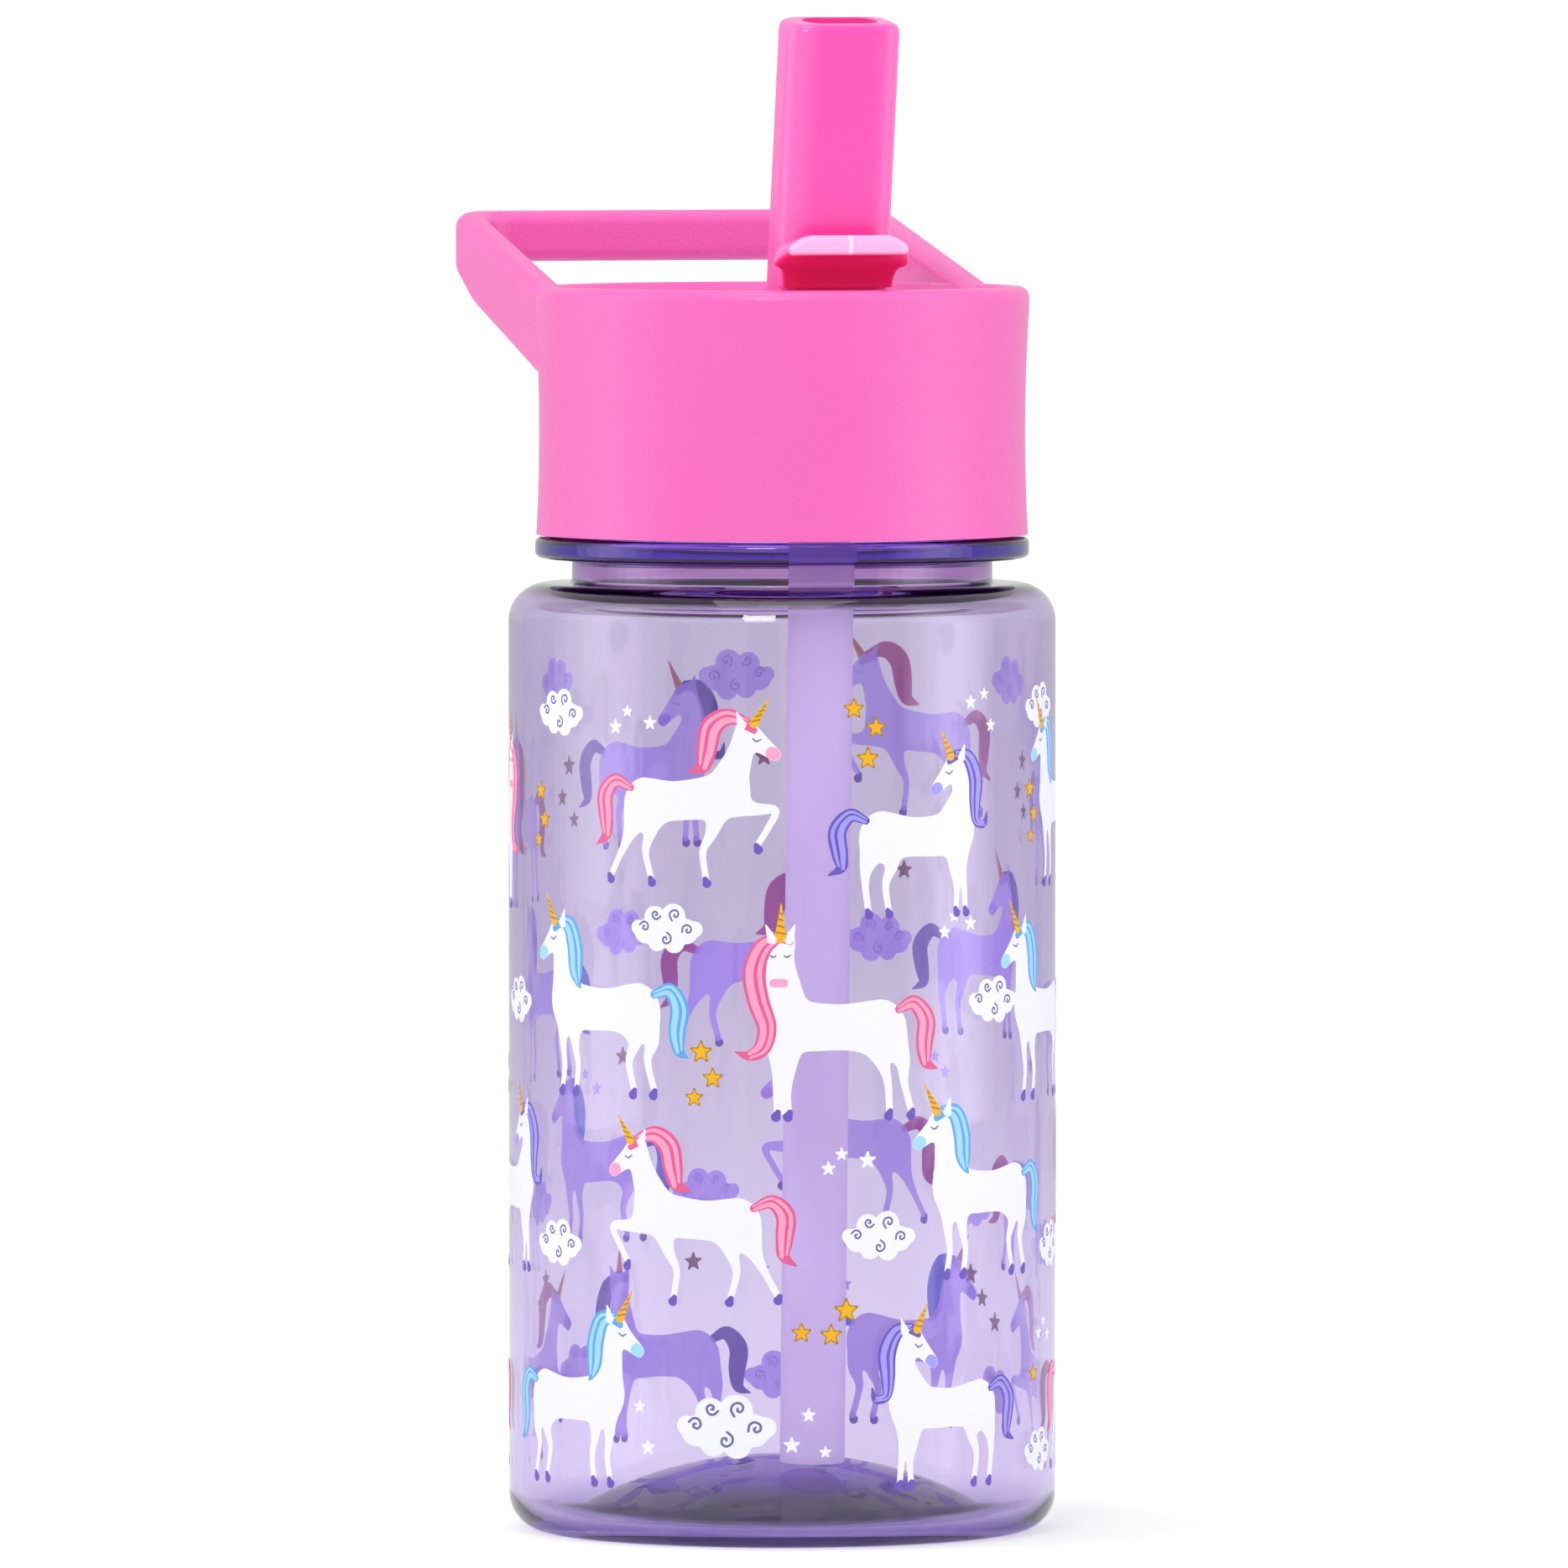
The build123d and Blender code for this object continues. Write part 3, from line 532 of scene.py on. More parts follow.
# ------------------------------------------------------------------ print, drawn with brush strokes
# A stroke is a list of (x, y, radius) in mm that a round brush follows. A foal's body faces +x
# and its hooves stand on y = 0. A hoof is given by the (x, y) of its middle.
FOALS = {
    "proud": {
        "coat": [
            [(-6.2, 10.7, 3.1), (-2.0, 10.5, 2.55), (2.0, 10.6, 2.7), (5.2, 11.2, 2.9)],
            [(5.3, 12.4, 2.6), (6.0, 15.4, 1.8), (6.3, 18.0, 1.5), (6.7, 19.5, 1.5)],
            [(6.8, 19.4, 1.6), (8.5, 18.1, 1.15), (10.2, 16.8, 0.8)],
            [(5.9, 20.6, 0.6), (5.5, 22.2, 0.08)],
            [(5.7, 10.0, 1.7), (5.8, 6.4, 0.72), (5.5, 3.6, 0.44), (5.9, 1.0, 0.42)],
            [(3.7, 9.8, 1.6), (3.5, 6.2, 0.7), (3.0, 3.6, 0.44), (3.3, 1.0, 0.42)],
            [(-7.0, 10.0, 2.3), (-8.2, 7.0, 1.05), (-7.7, 4.5, 0.5), (-8.6, 1.0, 0.42)],
            [(-5.4, 9.6, 2.2), (-5.9, 6.8, 0.95), (-5.1, 4.3, 0.5), (-5.8, 1.0, 0.42)],
        ],
        "hooves": [(5.9, 0.7), (3.3, 0.7), (-8.6, 0.7), (-5.8, 0.7)],
        "mane": [
            [
                (6.6, 20.9, 0.5), (4.6, 20.3, 1.15), (3.6, 17.8, 1.35), (3.4, 15.2, 1.2),
                (3.0, 13.6, 0.5), (2.5, 12.9, 0.1),
            ],
            [(6.4, 20.7, 0.7), (7.5, 19.9, 0.45)],
        ],
        "tail": [
            (-8.6, 12.5, 0.5), (-10.7, 13.0, 0.9), (-11.9, 10.9, 1.2), (-11.6, 8.0, 1.1),
            (-11.9, 5.8, 0.65), (-13.0, 5.0, 0.1),
        ],
        "horn": [(7.5, 20.7, 0.6), (9.3, 24.1, 0.06)],
        "eyes": [[(7.3, 18.9, 0.08), (7.8, 18.55, 0.1), (8.4, 18.8, 0.07)]],
        "muzzle": [(9.9, 16.9, 0.85), (10.6, 16.5, 0.8)],
    },
    "prance": {
        "coat": [
            [(-6.0, 10.7, 3.0), (-2.0, 10.8, 2.5), (2.0, 11.2, 2.65), (5.2, 11.9, 2.8)],
            [(5.2, 13.0, 2.5), (6.4, 16.0, 1.8), (7.2, 18.4, 1.5)],
            [(7.7, 19.3, 1.6), (9.5, 18.0, 1.1), (11.1, 16.8, 0.8)],
            [(6.9, 20.5, 0.6), (6.3, 22.1, 0.08)],
            [(5.8, 10.6, 1.7), (8.5, 9.9, 0.85), (11.2, 9.7, 0.5), (10.2, 7.4, 0.42), (9.1, 5.6, 0.4)],
            [(4.0, 10.2, 1.7), (3.0, 6.8, 0.78), (1.9, 4.4, 0.46), (2.3, 1.0, 0.42)],
            [(-6.8, 9.8, 2.4), (-8.4, 6.6, 0.95), (-9.7, 4.1, 0.48), (-11.2, 1.4, 0.42)],
            [(-5.0, 9.6, 2.2), (-5.4, 6.8, 0.95), (-6.0, 4.2, 0.48), (-5.2, 1.0, 0.42)],
        ],
        "hooves": [(8.9, 5.0), (2.3, 0.7), (-11.4, 1.0), (-5.2, 0.7)],
        "mane": [
            [
                (7.6, 20.9, 0.5), (5.0, 21.5, 1.1), (3.0, 20.1, 1.45), (2.4, 17.4, 1.35),
                (1.9, 15.3, 0.9), (0.0, 14.5, 0.1),
            ],
            [(7.3, 20.7, 0.7), (8.5, 19.8, 0.4)],
        ],
        "tail": [
            (-8.2, 12.4, 0.5), (-10.5, 13.2, 0.9), (-12.2, 11.5, 1.25), (-12.1, 8.7, 1.15),
            (-12.0, 6.4, 0.75), (-13.6, 5.1, 0.1),
        ],
        "horn": [(8.5, 20.7, 0.6), (10.4, 23.8, 0.06)],
        "eyes": [[(8.3, 18.8, 0.08), (8.8, 18.45, 0.1), (9.4, 18.7, 0.07)]],
        "muzzle": [(10.8, 16.9, 0.85), (11.5, 16.5, 0.8)],
    },
    "look_back": {
        "coat": [
            [(-6.2, 10.7, 3.1), (-2.0, 10.4, 2.55), (2.0, 10.5, 2.7), (4.9, 11.2, 3.0)],
            [(5.0, 12.4, 2.8), (5.9, 15.5, 1.9), (5.6, 18.0, 1.55), (4.9, 19.4, 1.5)],
            [(4.7, 19.4, 1.6), (3.0, 17.9, 1.1), (1.5, 16.4, 0.8)],
            [(5.7, 20.5, 0.6), (6.2, 22.1, 0.08)],
            [(5.8, 10.0, 1.7), (5.9, 6.4, 0.72), (6.2, 3.6, 0.44), (6.4, 1.0, 0.42)],
            [(4.2, 9.8, 1.6), (4.4, 6.2, 0.7), (4.9, 3.6, 0.44), (4.8, 1.0, 0.42)],
            [(-7.0, 10.0, 2.3), (-8.3, 7.0, 1.05), (-8.6, 4.5, 0.5), (-8.2, 1.0, 0.42)],
            [(-5.4, 9.6, 2.2), (-5.0, 6.8, 0.95), (-5.8, 4.3, 0.5), (-5.4, 1.0, 0.42)],
        ],
        "hooves": [(6.4, 0.7), (4.8, 0.7), (-8.2, 0.7), (-5.4, 0.7)],
        "mane": [
            [
                (4.8, 21.0, 0.5), (6.9, 20.4, 1.0), (8.2, 17.8, 1.25), (8.1, 14.6, 1.0),
                (8.3, 12.2, 0.65), (9.8, 11.8, 0.5), (10.3, 13.3, 0.1),
            ],
            [(4.9, 20.8, 0.65), (3.7, 20.0, 0.4)],
        ],
        "tail": [
            (-8.5, 12.6, 0.5), (-10.6, 13.3, 0.9), (-12.3, 11.3, 1.2), (-12.0, 8.4, 1.1),
            (-11.8, 6.6, 0.7), (-13.5, 5.6, 0.1),
        ],
        "horn": [(3.9, 20.7, 0.6), (2.3, 24.1, 0.06)],
        "eyes": [[(3.1, 18.7, 0.07), (3.7, 18.4, 0.1), (4.2, 18.8, 0.08)]],
        "muzzle": [(1.8, 16.5, 0.85), (1.1, 16.1, 0.8)],
    },
    "facing": {
        "coat": [
            [(-6.6, 10.9, 3.2), (-2.0, 10.9, 2.7), (2.0, 11.0, 2.9), (4.6, 11.4, 3.1)],
            [(4.8, 12.4, 2.9), (5.0, 15.6, 2.1), (5.2, 18.0, 1.6)],
            [(5.3, 20.2, 1.7), (5.4, 18.2, 1.25), (5.5, 16.4, 1.05)],
            [(4.3, 21.2, 0.55), (3.6, 22.9, 0.08)],
            [(6.3, 21.2, 0.55), (7.0, 22.9, 0.08)],
            [(5.6, 10.0, 1.8), (5.6, 6.4, 0.8), (5.7, 3.4, 0.48), (5.6, 1.0, 0.46)],
            [(4.0, 9.8, 1.7), (4.2, 6.2, 0.76), (4.5, 3.4, 0.46), (4.4, 1.0, 0.44)],
            [(-7.6, 10.2, 2.4), (-9.4, 7.0, 1.05), (-9.7, 4.3, 0.5), (-10.6, 1.0, 0.42)],
            [(-6.0, 9.8, 2.3), (-6.9, 6.8, 0.95), (-7.6, 4.3, 0.5), (-7.8, 1.0, 0.42)],
        ],
        "hooves": [(5.7, 0.7), (4.3, 0.7), (-10.7, 0.7), (-7.8, 0.7)],
        "mane": [
            [
                (5.6, 21.4, 0.6), (7.4, 20.2, 1.1), (8.4, 17.4, 1.35), (7.9, 14.0, 1.3),
                (6.9, 11.0, 1.15), (7.4, 8.6, 1.0), (8.9, 7.6, 0.6), (10.6, 8.0, 0.1),
            ],
            [(4.2, 21.0, 0.45), (5.3, 21.5, 0.7), (6.7, 20.9, 0.7)],
        ],
        "tail": [
            (-9.0, 12.9, 0.5), (-11.0, 13.6, 0.9), (-12.6, 11.6, 1.25), (-12.4, 8.8, 1.15),
            (-12.6, 6.6, 0.7), (-14.2, 5.8, 0.1),
        ],
        "horn": [(5.3, 21.5, 0.68), (5.2, 25.4, 0.06)],
        "eyes": [
            [(4.1, 19.4, 0.07), (4.5, 19.15, 0.1), (4.9, 19.3, 0.07)],
            [(5.8, 19.3, 0.07), (6.2, 19.15, 0.1), (6.6, 19.4, 0.07)],
        ],
        "muzzle": [(4.9, 16.1, 0.5), (6.1, 16.1, 0.5)],
    },
}
CLOUD = [
    [(-2.9, -0.3, 1.5), (0.0, 0.0, 1.9), (2.9, -0.2, 1.6)],
    [(-1.5, 1.5, 1.45), (-1.4, 1.5, 1.45)],
    [(1.1, 1.7, 1.6), (1.2, 1.7, 1.6)],
    [(-1.2, -1.5, 1.25), (-1.1, -1.5, 1.25)],
    [(1.2, -1.6, 1.35), (1.3, -1.6, 1.35)],
    [(-3.9, 0.2, 0.95), (-3.8, 0.2, 0.95)],
    [(4.0, 0.1, 1.0), (4.1, 0.1, 1.0)],
]
CLOUD_CURLS = [
    (-2.9, 0.3, 0.75, 20), (1.4, 1.9, 0.85, 100), (-1.3, 1.9, 0.7, 200), (0.1, -1.2, 0.85, 300),
    (3.1, 0.0, 0.8, 60),
]


def swirl(x, y, size, start):
    """A curl of 1.4 turns that opens outwards."""
    return [
        (
            x + size * t * math.cos(math.radians(start + 500 * t)),
            y + size * t * math.sin(math.radians(start + 500 * t)),
            0.12,
        )
        for t in (0.12, 0.28, 0.42, 0.56, 0.68, 0.8, 0.9, 1.0)
    ]


def star(size, points=5):
    """A soft-cornered star with its middle at the origin."""
    return [
        [
            (0, 0, 0.40 * size),
            (
                size * math.cos(math.radians(90 + 360 * i / points)) * 0.88,
                size * math.sin(math.radians(90 + 360 * i / points)) * 0.88,
                0.12 * size,
            ),
        ]
        for i in range(points)
    ]


def brush(stroke, steps=6):
    """The stroke's points along a smooth curve through them."""
    spots = np.array(stroke, float)
    if len(spots) < 3:
        return spots
    spots = np.vstack([2 * spots[0] - spots[1], spots, 2 * spots[-1] - spots[-2]])
    t = np.linspace(0, 1, steps, endpoint=False)[:, None]
    curve = [
        0.5 * (2 * b + (c - a) * t + (2 * a - 5 * b + 4 * c - d) * t**2 + (3 * b - a - 3 * c + d) * t**3)
        for a, b, c, d in zip(spots, spots[1:], spots[2:], spots[3:])
    ]
    return np.vstack(curve + [spots[-2:-1]])


def reach(strokes, x, y, melt=0.0):
    """Distance to the strokes' ink at each point, negative inside it."""
    total = None
    for stroke in strokes:
        near = np.full(x.shape, 99.0)
        curve = brush(stroke)
        for (ax, ay, ar), (bx, by, br) in zip(curve, curve[1:]):
            along = ((x - ax) * (bx - ax) + (y - ay) * (by - ay)) / ((bx - ax) ** 2 + (by - ay) ** 2)
            along = np.clip(along, 0, 1)
            gap = np.hypot(x - ax - along * (bx - ax), y - ay - along * (by - ay))
            near = np.minimum(near, gap - ar - along * (br - ar))
        if total is None:
            total = near
        elif melt:
            share = np.clip(0.5 + (near - total) / (2 * melt), 0, 1)
            total = near * (1 - share) + total * share - melt * share * (1 - share)
        else:
            total = np.minimum(total, near)
    return total


def outlines(field, xs, ys):
    """Closed loops of points where a field on a grid crosses zero."""
    inside = field < 0
    mixed = (
        (inside[:-1, :-1] != inside[1:, :-1])
        | (inside[:-1, :-1] != inside[:-1, 1:])
        | (inside[1:, 1:] != inside[1:, :-1])
    )
    links = {}
    for row, column in zip(*np.nonzero(mixed)):
        ring = [(row, column), (row, column + 1), (row + 1, column + 1), (row + 1, column)]
        cut = [
            (min(a, b), max(a, b)) for a, b in zip(ring, ring[1:] + ring[:1]) if inside[a] != inside[b]
        ]
        for a, b in zip(cut[::2], cut[1::2]):
            links.setdefault(a, []).append(b)
            links.setdefault(b, []).append(a)
    loops = []
    while links:
        start = next(iter(links))
        loop = [start]
        while True:
            onward = links.pop(loop[-1])
            step = next((spot for spot in onward if spot in links), None)
            if step is None:
                break
            loop.append(step)
        spots = []
        for a, b in loop:
            t = field[a] / (field[a] - field[b])
            spots.append((xs[a[1]] + t * (xs[b[1]] - xs[a[1]]), ys[a[0]] + t * (ys[b[0]] - ys[a[0]])))
        loops.append(thin_out(spots))
    return [loop for loop in loops if len(loop) > 3]


def thin_out(spots, slack=0.006):
    """Drops the points of a loop that a straight line replaces to within slack."""
    kept = [np.array(spots[0])]
    run = []
    for spot in spots[1:] + spots[:1]:
        spot = np.array(spot)
        chord = spot - kept[-1]
        length = np.hypot(*chord)
        if run and length > 0:
            off = max(
                abs(chord[0] * (q[1] - kept[-1][1]) - chord[1] * (q[0] - kept[-1][0])) / length
                for q in run
            )
            if off > slack or length > 1.2:
                kept.append(run[-1])
                run = []
        run.append(spot)
    return [tuple(spot) for spot in kept]


def draw(strokes, melt=0.0, inside=None, grid=0.13):
    """Loops around the strokes' ink; inside keeps only what lies within other strokes."""
    spots = np.array([spot for stroke in strokes for spot in stroke])
    low = spots[:, :2].min(axis=0) - spots[:, 2].max() - 0.6
    high = spots[:, :2].max(axis=0) + spots[:, 2].max() + 0.6
    xs = np.arange(low[0], high[0], grid)
    ys = np.arange(low[1], high[1], grid)
    x, y = np.meshgrid(xs, ys)
    field = reach(strokes, x, y, melt)
    if inside is not None:
        field = np.maximum(field, reach(inside, x, y, 0.6) + 0.04)
    return outlines(field + 1e-7, xs, ys)


def thinner(stroke, share, shift=0.0):
    """The same stroke with a narrower brush, moved sideways by a share of its radius."""
    spots = np.array(stroke, float)
    run = np.gradient(spots[:, :2], axis=0)
    run /= np.maximum(np.hypot(run[:, 0], run[:, 1]), 1e-6)[:, None]
    side = np.stack([-run[:, 1], run[:, 0]], axis=1) * spots[:, 2:3] * shift
    return [tuple(row) for row in np.hstack([spots[:, :2] + side, spots[:, 2:3] * share])][:-1]


def foal_layers(pose):
    """Each ink layer of a foal: (ink, level, loops)."""
    foal = FOALS[pose]
    hair = foal["mane"] + [foal["tail"]]
    horn = foal["horn"]
    (hx, hy, hr), (tx, ty, tr) = horn
    rings = [
        [
            (hx + (tx - hx) * t - hr * (1 - t), hy + (ty - hy) * t - 0.12, 0.1),
            (hx + (tx - hx) * t + hr * (1 - t), hy + (ty - hy) * t + 0.12, 0.1),
        ]
        for t in (0.12, 0.32, 0.52, 0.7)
    ]
    ears = [stroke for stroke in foal["coat"] if len(stroke) == 2]
    locks = [lock for lock in hair if len(lock) > 3]
    stripes = [thinner(lock, 0.34, 0.38) for lock in locks] + [thinner(lock, 0.2, -0.5) for lock in locks]
    feet = [[(x - 0.1, y + 0.25, 0.36), (x + 0.12, y - 0.25, 0.6)] for x, y in foal["hooves"]]
    return [
        ("white", 0, draw(foal["coat"], melt=0.8)),
        ("hair_deep", 1, draw(hair)),
        ("hair_light", 2, draw(stripes, grid=0.09)),
        ("hair_light", 1, draw([foal["muzzle"]], inside=foal["coat"], grid=0.09)),
        ("lilac_deep", 1, draw(feet, grid=0.09)),
        ("white", 3, draw(ears, grid=0.09)),
        ("gold", 3, draw([horn], grid=0.09)),
        ("gold_deep", 4, draw(rings, inside=[horn], grid=0.07)),
        ("line", 1, draw(foal["eyes"], grid=0.06)),
    ]


# ------------------------------------------------------------------ print, wrapped round the bottle
STRIP = 1.0  # mm between the cuts that let a flat sheet bend round the wall
FILM = 0.008  # mm of ink
FILM_GAP = 0.012  # mm from the wall to the first layer
LAYER_STEP = 0.018


def holds(loop, spot):
    """Whether a loop goes round a spot."""
    crossings = 0
    for (ax, ay), (bx, by) in zip(loop, loop[1:] + loop[:1]):
        if (ay > spot[1]) != (by > spot[1]):
            crossings += spot[0] < ax + (spot[1] - ay) * (bx - ax) / (by - ay)
    return crossings % 2 == 1


def flat_sheet(loops):
    """Fills the loops, leaving their holes open, and cuts the sheet into upright strips."""
    made = bmesh.new()
    depths = [sum(holds(other, loop[0]) for other in loops if other is not loop) for loop in loops]
    for outer, depth in zip(loops, depths):
        if depth % 2:
            continue
        rings = [outer] + [
            hole for hole, deep in zip(loops, depths) if deep == depth + 1 and holds(outer, hole[0])
        ]
        rings = [[Vector((x, y, 0)) for x, y in ring] for ring in rings]
        verts = [made.verts.new(spot) for ring in rings for spot in ring]
        for corners in tessellate_polygon(rings):
            if len(set(corners)) == 3 and made.faces.get([verts[i] for i in corners]) is None:
                made.faces.new([verts[i] for i in corners])
    for face in made.faces:
        face.normal_update()
        if face.normal.z < 0:
            face.normal_flip()
    low = min(vert.co.x for vert in made.verts)
    high = max(vert.co.x for vert in made.verts)
    for step in range(math.ceil(low / STRIP), math.ceil(high / STRIP)):
        bmesh.ops.bisect_plane(
            made,
            geom=[*made.verts, *made.edges, *made.faces],
            dist=1e-4,
            plane_co=(step * STRIP, 0, 0),
            plane_no=(1, 0, 0),
        )
    made.verts.index_update()
    sheet = (
        [tuple(vert.co.xy) for vert in made.verts],
        [[vert.index for vert in face.verts] for face in made.faces],
        [
            [loop.vert.index, loop.link_loop_next.vert.index]
            for edge in made.edges
            if len(edge.link_loops) == 1
            for loop in edge.link_loops
        ],
    )
    made.free()
    return sheet


class Film:
    """All the ink of one colour, as thin closed films that stand on the bottle's wall."""

    def __init__(self):
        self.spots = []
        self.faces = []
        self.rims = []

    def lay(self, sheet, level, angle, height, side, size):
        verts, faces, rims = sheet
        low = BODY_RADIUS / MM + FILM_GAP + LAYER_STEP * level
        start = len(self.spots)
        for radius in (low, low + FILM):
            for x, y in verts:
                turn = angle + side * size * x / (BODY_RADIUS / MM)
                self.spots.append(
                    (
                        radius * MM * math.sin(turn),
                        -radius * MM * math.cos(turn),
                        (height + size * y) * MM,
                    )
                )
        top = start + len(verts)
        for face in faces:
            ring = face if side > 0 else face[::-1]
            self.faces.append([top + i for i in ring])
            self.faces.append([start + i for i in ring[::-1]])
        for a, b in rims:
            a, b = (a, b) if side > 0 else (b, a)
            self.rims.append(frozenset((start + a, start + b)))
            self.rims.append(frozenset((top + a, top + b)))
            self.faces.append([start + a, start + b, top + b, top + a])

    def piece(self, ink):
        mesh = bpy.data.meshes.new("print_" + ink)
        mesh.from_pydata(self.spots, [], self.faces)
        rims = set(self.rims)
        for edge in mesh.edges:
            edge.use_edge_sharp = frozenset(edge.vertices) in rims
        made = new_piece("print_" + ink, mesh, ink_finish(ink, INKS[ink]), "bottle")


# pose, degrees from VIEW_TURN, hoof height in mm, facing, hair, size
FOAL_PLACES = [
    ("prance", -22, 84, 1, "pink", 1.0), ("look_back", 29, 80, 1, "lilac", 0.98),
    ("proud", 85, 83, -1, "blue", 1.0), ("prance", 146, 90, 1, "pink", 1.0),
    ("look_back", -148, 86, -1, "lilac", 1.0), ("facing", -92, 80, 1, "pink", 0.98),
    ("proud", -40, 57, -1, "blue", 1.06), ("facing", 11.5, 54.5, -1, "pink", 1.08),
    ("proud", 74, 56, -1, "blue", 1.06), ("look_back", 130, 62, -1, "lilac", 1.0),
    ("prance", -172, 60, -1, "pink", 1.0), ("proud", -112, 57, 1, "blue", 1.04),
    ("prance", -17, 31, -1, "pink", 1.0), ("proud", 49, 34, -1, "blue", 1.03),
    ("facing", 105, 32, -1, "pink", 1.02), ("prance", 163, 37, 1, "pink", 1.0),
    ("proud", -136, 35, 1, "blue", 1.0), ("look_back", -80, 34, 1, "lilac", 1.0),
    ("proud", -51, 7.5, 1, "blue", 1.04), ("look_back", 37.7, 7.5, -1, "lilac", 0.98),
    ("prance", 95, 8, 1, "pink", 1.0), ("proud", 152, 11, -1, "blue", 1.04),
    ("facing", -152, 9, 1, "lilac", 1.0), ("prance", -103, 8, -1, "pink", 1.0),
]
# degrees from VIEW_TURN, height of the middle in mm, size
CLOUD_PLACES = [
    (-54, 105.4, 0.95), (69.6, 105.9, 0.95), (-25, 78.5, 1.0), (50, 69, 0.95), (-73.5, 68.4, 0.95),
    (-54.5, 38, 0.95), (20.4, 39.6, 1.0), (-12, 15.5, 1.3), (117, 108, 1.0), (-170, 108, 1.05),
    (-118, 108, 0.95), (102, 73, 0.95), (158, 74, 1.0), (-142, 75, 0.95), (77, 37, 0.95), (133, 40, 1.0),
    (-163, 41, 0.95), (-108, 41, 0.95), (69, 11, 0.9), (124, 16, 1.0), (180, 17, 1.0), (-128, 19, 0.95),
]
# degrees from VIEW_TURN, height of the middle in mm, size
GOLD_STARS = [
    (15, 106.5, 1.1), (19.8, 104.1, 1.1), (18, 100.2, 1.2), (-61, 95.4, 1.05), (-59.5, 91.8, 1.0),
    (-62, 89.2, 0.85), (64, 95.6, 1.1), (66, 92.4, 1.0), (64.5, 89.6, 0.85), (-17, 63.1, 1.2),
    (-14.5, 59.8, 1.1), (-18.5, 57.3, 1.0), (13.4, 30.4, 1.3), (4, 27.6, 1.05), (10.2, 27.3, 1.15),
    (110, 98, 1.1), (113, 94, 1.0), (109, 91.5, 0.9), (171, 95, 1.2), (175, 92, 1.0), (-176, 97.5, 1.0),
    (-124, 97, 1.1), (-121, 93, 1.0), (-126, 90, 0.9), (107, 62, 1.1), (103, 59, 1.0), (152, 83, 1.0),
    (156, 85.5, 1.1), (-146, 62, 1.1), (-142, 59, 1.0), (-90, 60, 1.0), (-88, 57, 0.9), (133, 31, 1.1),
    (129, 28, 1.0), (-160, 32, 1.0), (-112, 31, 1.1), (-108, 28, 1.0), (66, 21, 1.0), (124, 25, 1.1),
]
WHITE_STARS = [
    (-37, 104, 0.75), (-34, 106, 0.6), (-28.5, 104.6, 0.7), (36, 78, 0.7), (38.5, 80, 0.65), (43, 79, 0.75),
    (9.6, 48.4, 0.7), (12.4, 50.2, 0.65), (18, 49.4, 0.85), (43, 107, 0.7), (47, 108, 0.6), (49, 104, 0.65),
    (2, 13.4, 0.8), (5.5, 17.2, 0.7), (-29, 12.8, 0.8), (-31, 18, 0.65), (9, 12.5, 0.6), (69, 26, 0.7),
    (72, 27.5, 0.6), (75, 25.6, 0.7), (93, 81, 0.7), (97, 83, 0.6), (141, 57, 0.7), (144, 59, 0.65),
    (-134, 55, 0.7), (-130, 57, 0.6), (-104, 77, 0.7), (-100, 79, 0.65), (166, 29, 0.7), (-176, 31, 0.6),
]
VIEW_TURN = -18.0  # degrees from the drinking side to the view that places are counted from


def build_print():
    """Foals, clouds and stars all round the wall, one piece for each ink."""
    films = {ink: Film() for ink in INKS}

    def stamp(drawing, angle, height, side=1, size=1.0, hair=None):
        for ink, level, sheet in drawing:
            films[ink.replace("hair", hair or "")].lay(
                sheet, level, math.radians(angle + VIEW_TURN), height, side, size
            )

    def sheets(layers):
        return [(ink, level, flat_sheet(loops)) for ink, level, loops in layers if loops]

    foals = {pose: sheets(foal_layers(pose)) for pose in FOALS}
    cloud = sheets(
        [
            ("white", 0, draw(CLOUD, melt=0.12)),
            ("line", 1, draw([swirl(*curl) for curl in CLOUD_CURLS], grid=0.06)),
        ]
    )
    gold_star = sheets(
        [
            ("gold_deep", 0, draw(star(1.25), melt=0.2, grid=0.07)),
            ("gold", 1, draw(star(0.95), melt=0.15, grid=0.07)),
        ]
    )
    white_star = sheets([("white", 0, draw(star(1.35), melt=0.04, grid=0.06))])
    for pose, angle, height, side, hair, size in FOAL_PLACES:
        middle = math.degrees(side * size * FOAL_MIDDLE / (BODY_RADIUS / MM))
        stamp(foals[pose], angle + middle, height, side, size, hair)
    for angle, height, size in CLOUD_PLACES:
        stamp(cloud, angle, height, size=size)
    for angle, height, size in GOLD_STARS:
        stamp(gold_star, angle, height, size=size)
    for angle, height, size in WHITE_STARS:
        stamp(white_star, angle, height, size=size)
    for ink, film in films.items():
        film.piece(ink)


FOAL_MIDDLE = 1.4  # mm from the middle of a foal to the x = 0 of its strokes


# ------------------------------------------------------------------ camera, light and floor
def build_camera():
    """A long lens, a little above mid-height, 18 degrees round to the loop's side."""
    data = bpy.data.cameras.new("camera")
    camera = bpy.data.objects.new("camera", data)
    bpy.context.scene.collection.objects.link(camera)
    azimuth = math.radians(VIEW_TURN)
    data.sensor_width = 36.0
    data.lens = CAMERA_LENS
    data.clip_start = 0.05
    data.clip_end = 200.0
    right = Vector((math.cos(azimuth), math.sin(azimuth), 0))
    camera.location = (
        Vector((math.sin(azimuth), -math.cos(azimuth), 0)) * CAMERA_AWAY + right * CAMERA_ASIDE
    )
    camera.location.z = CAMERA_HEIGHT
    camera.rotation_euler = (math.radians(90.0 - CAMERA_DIP), 0, azimuth)
    bpy.context.scene.camera = camera


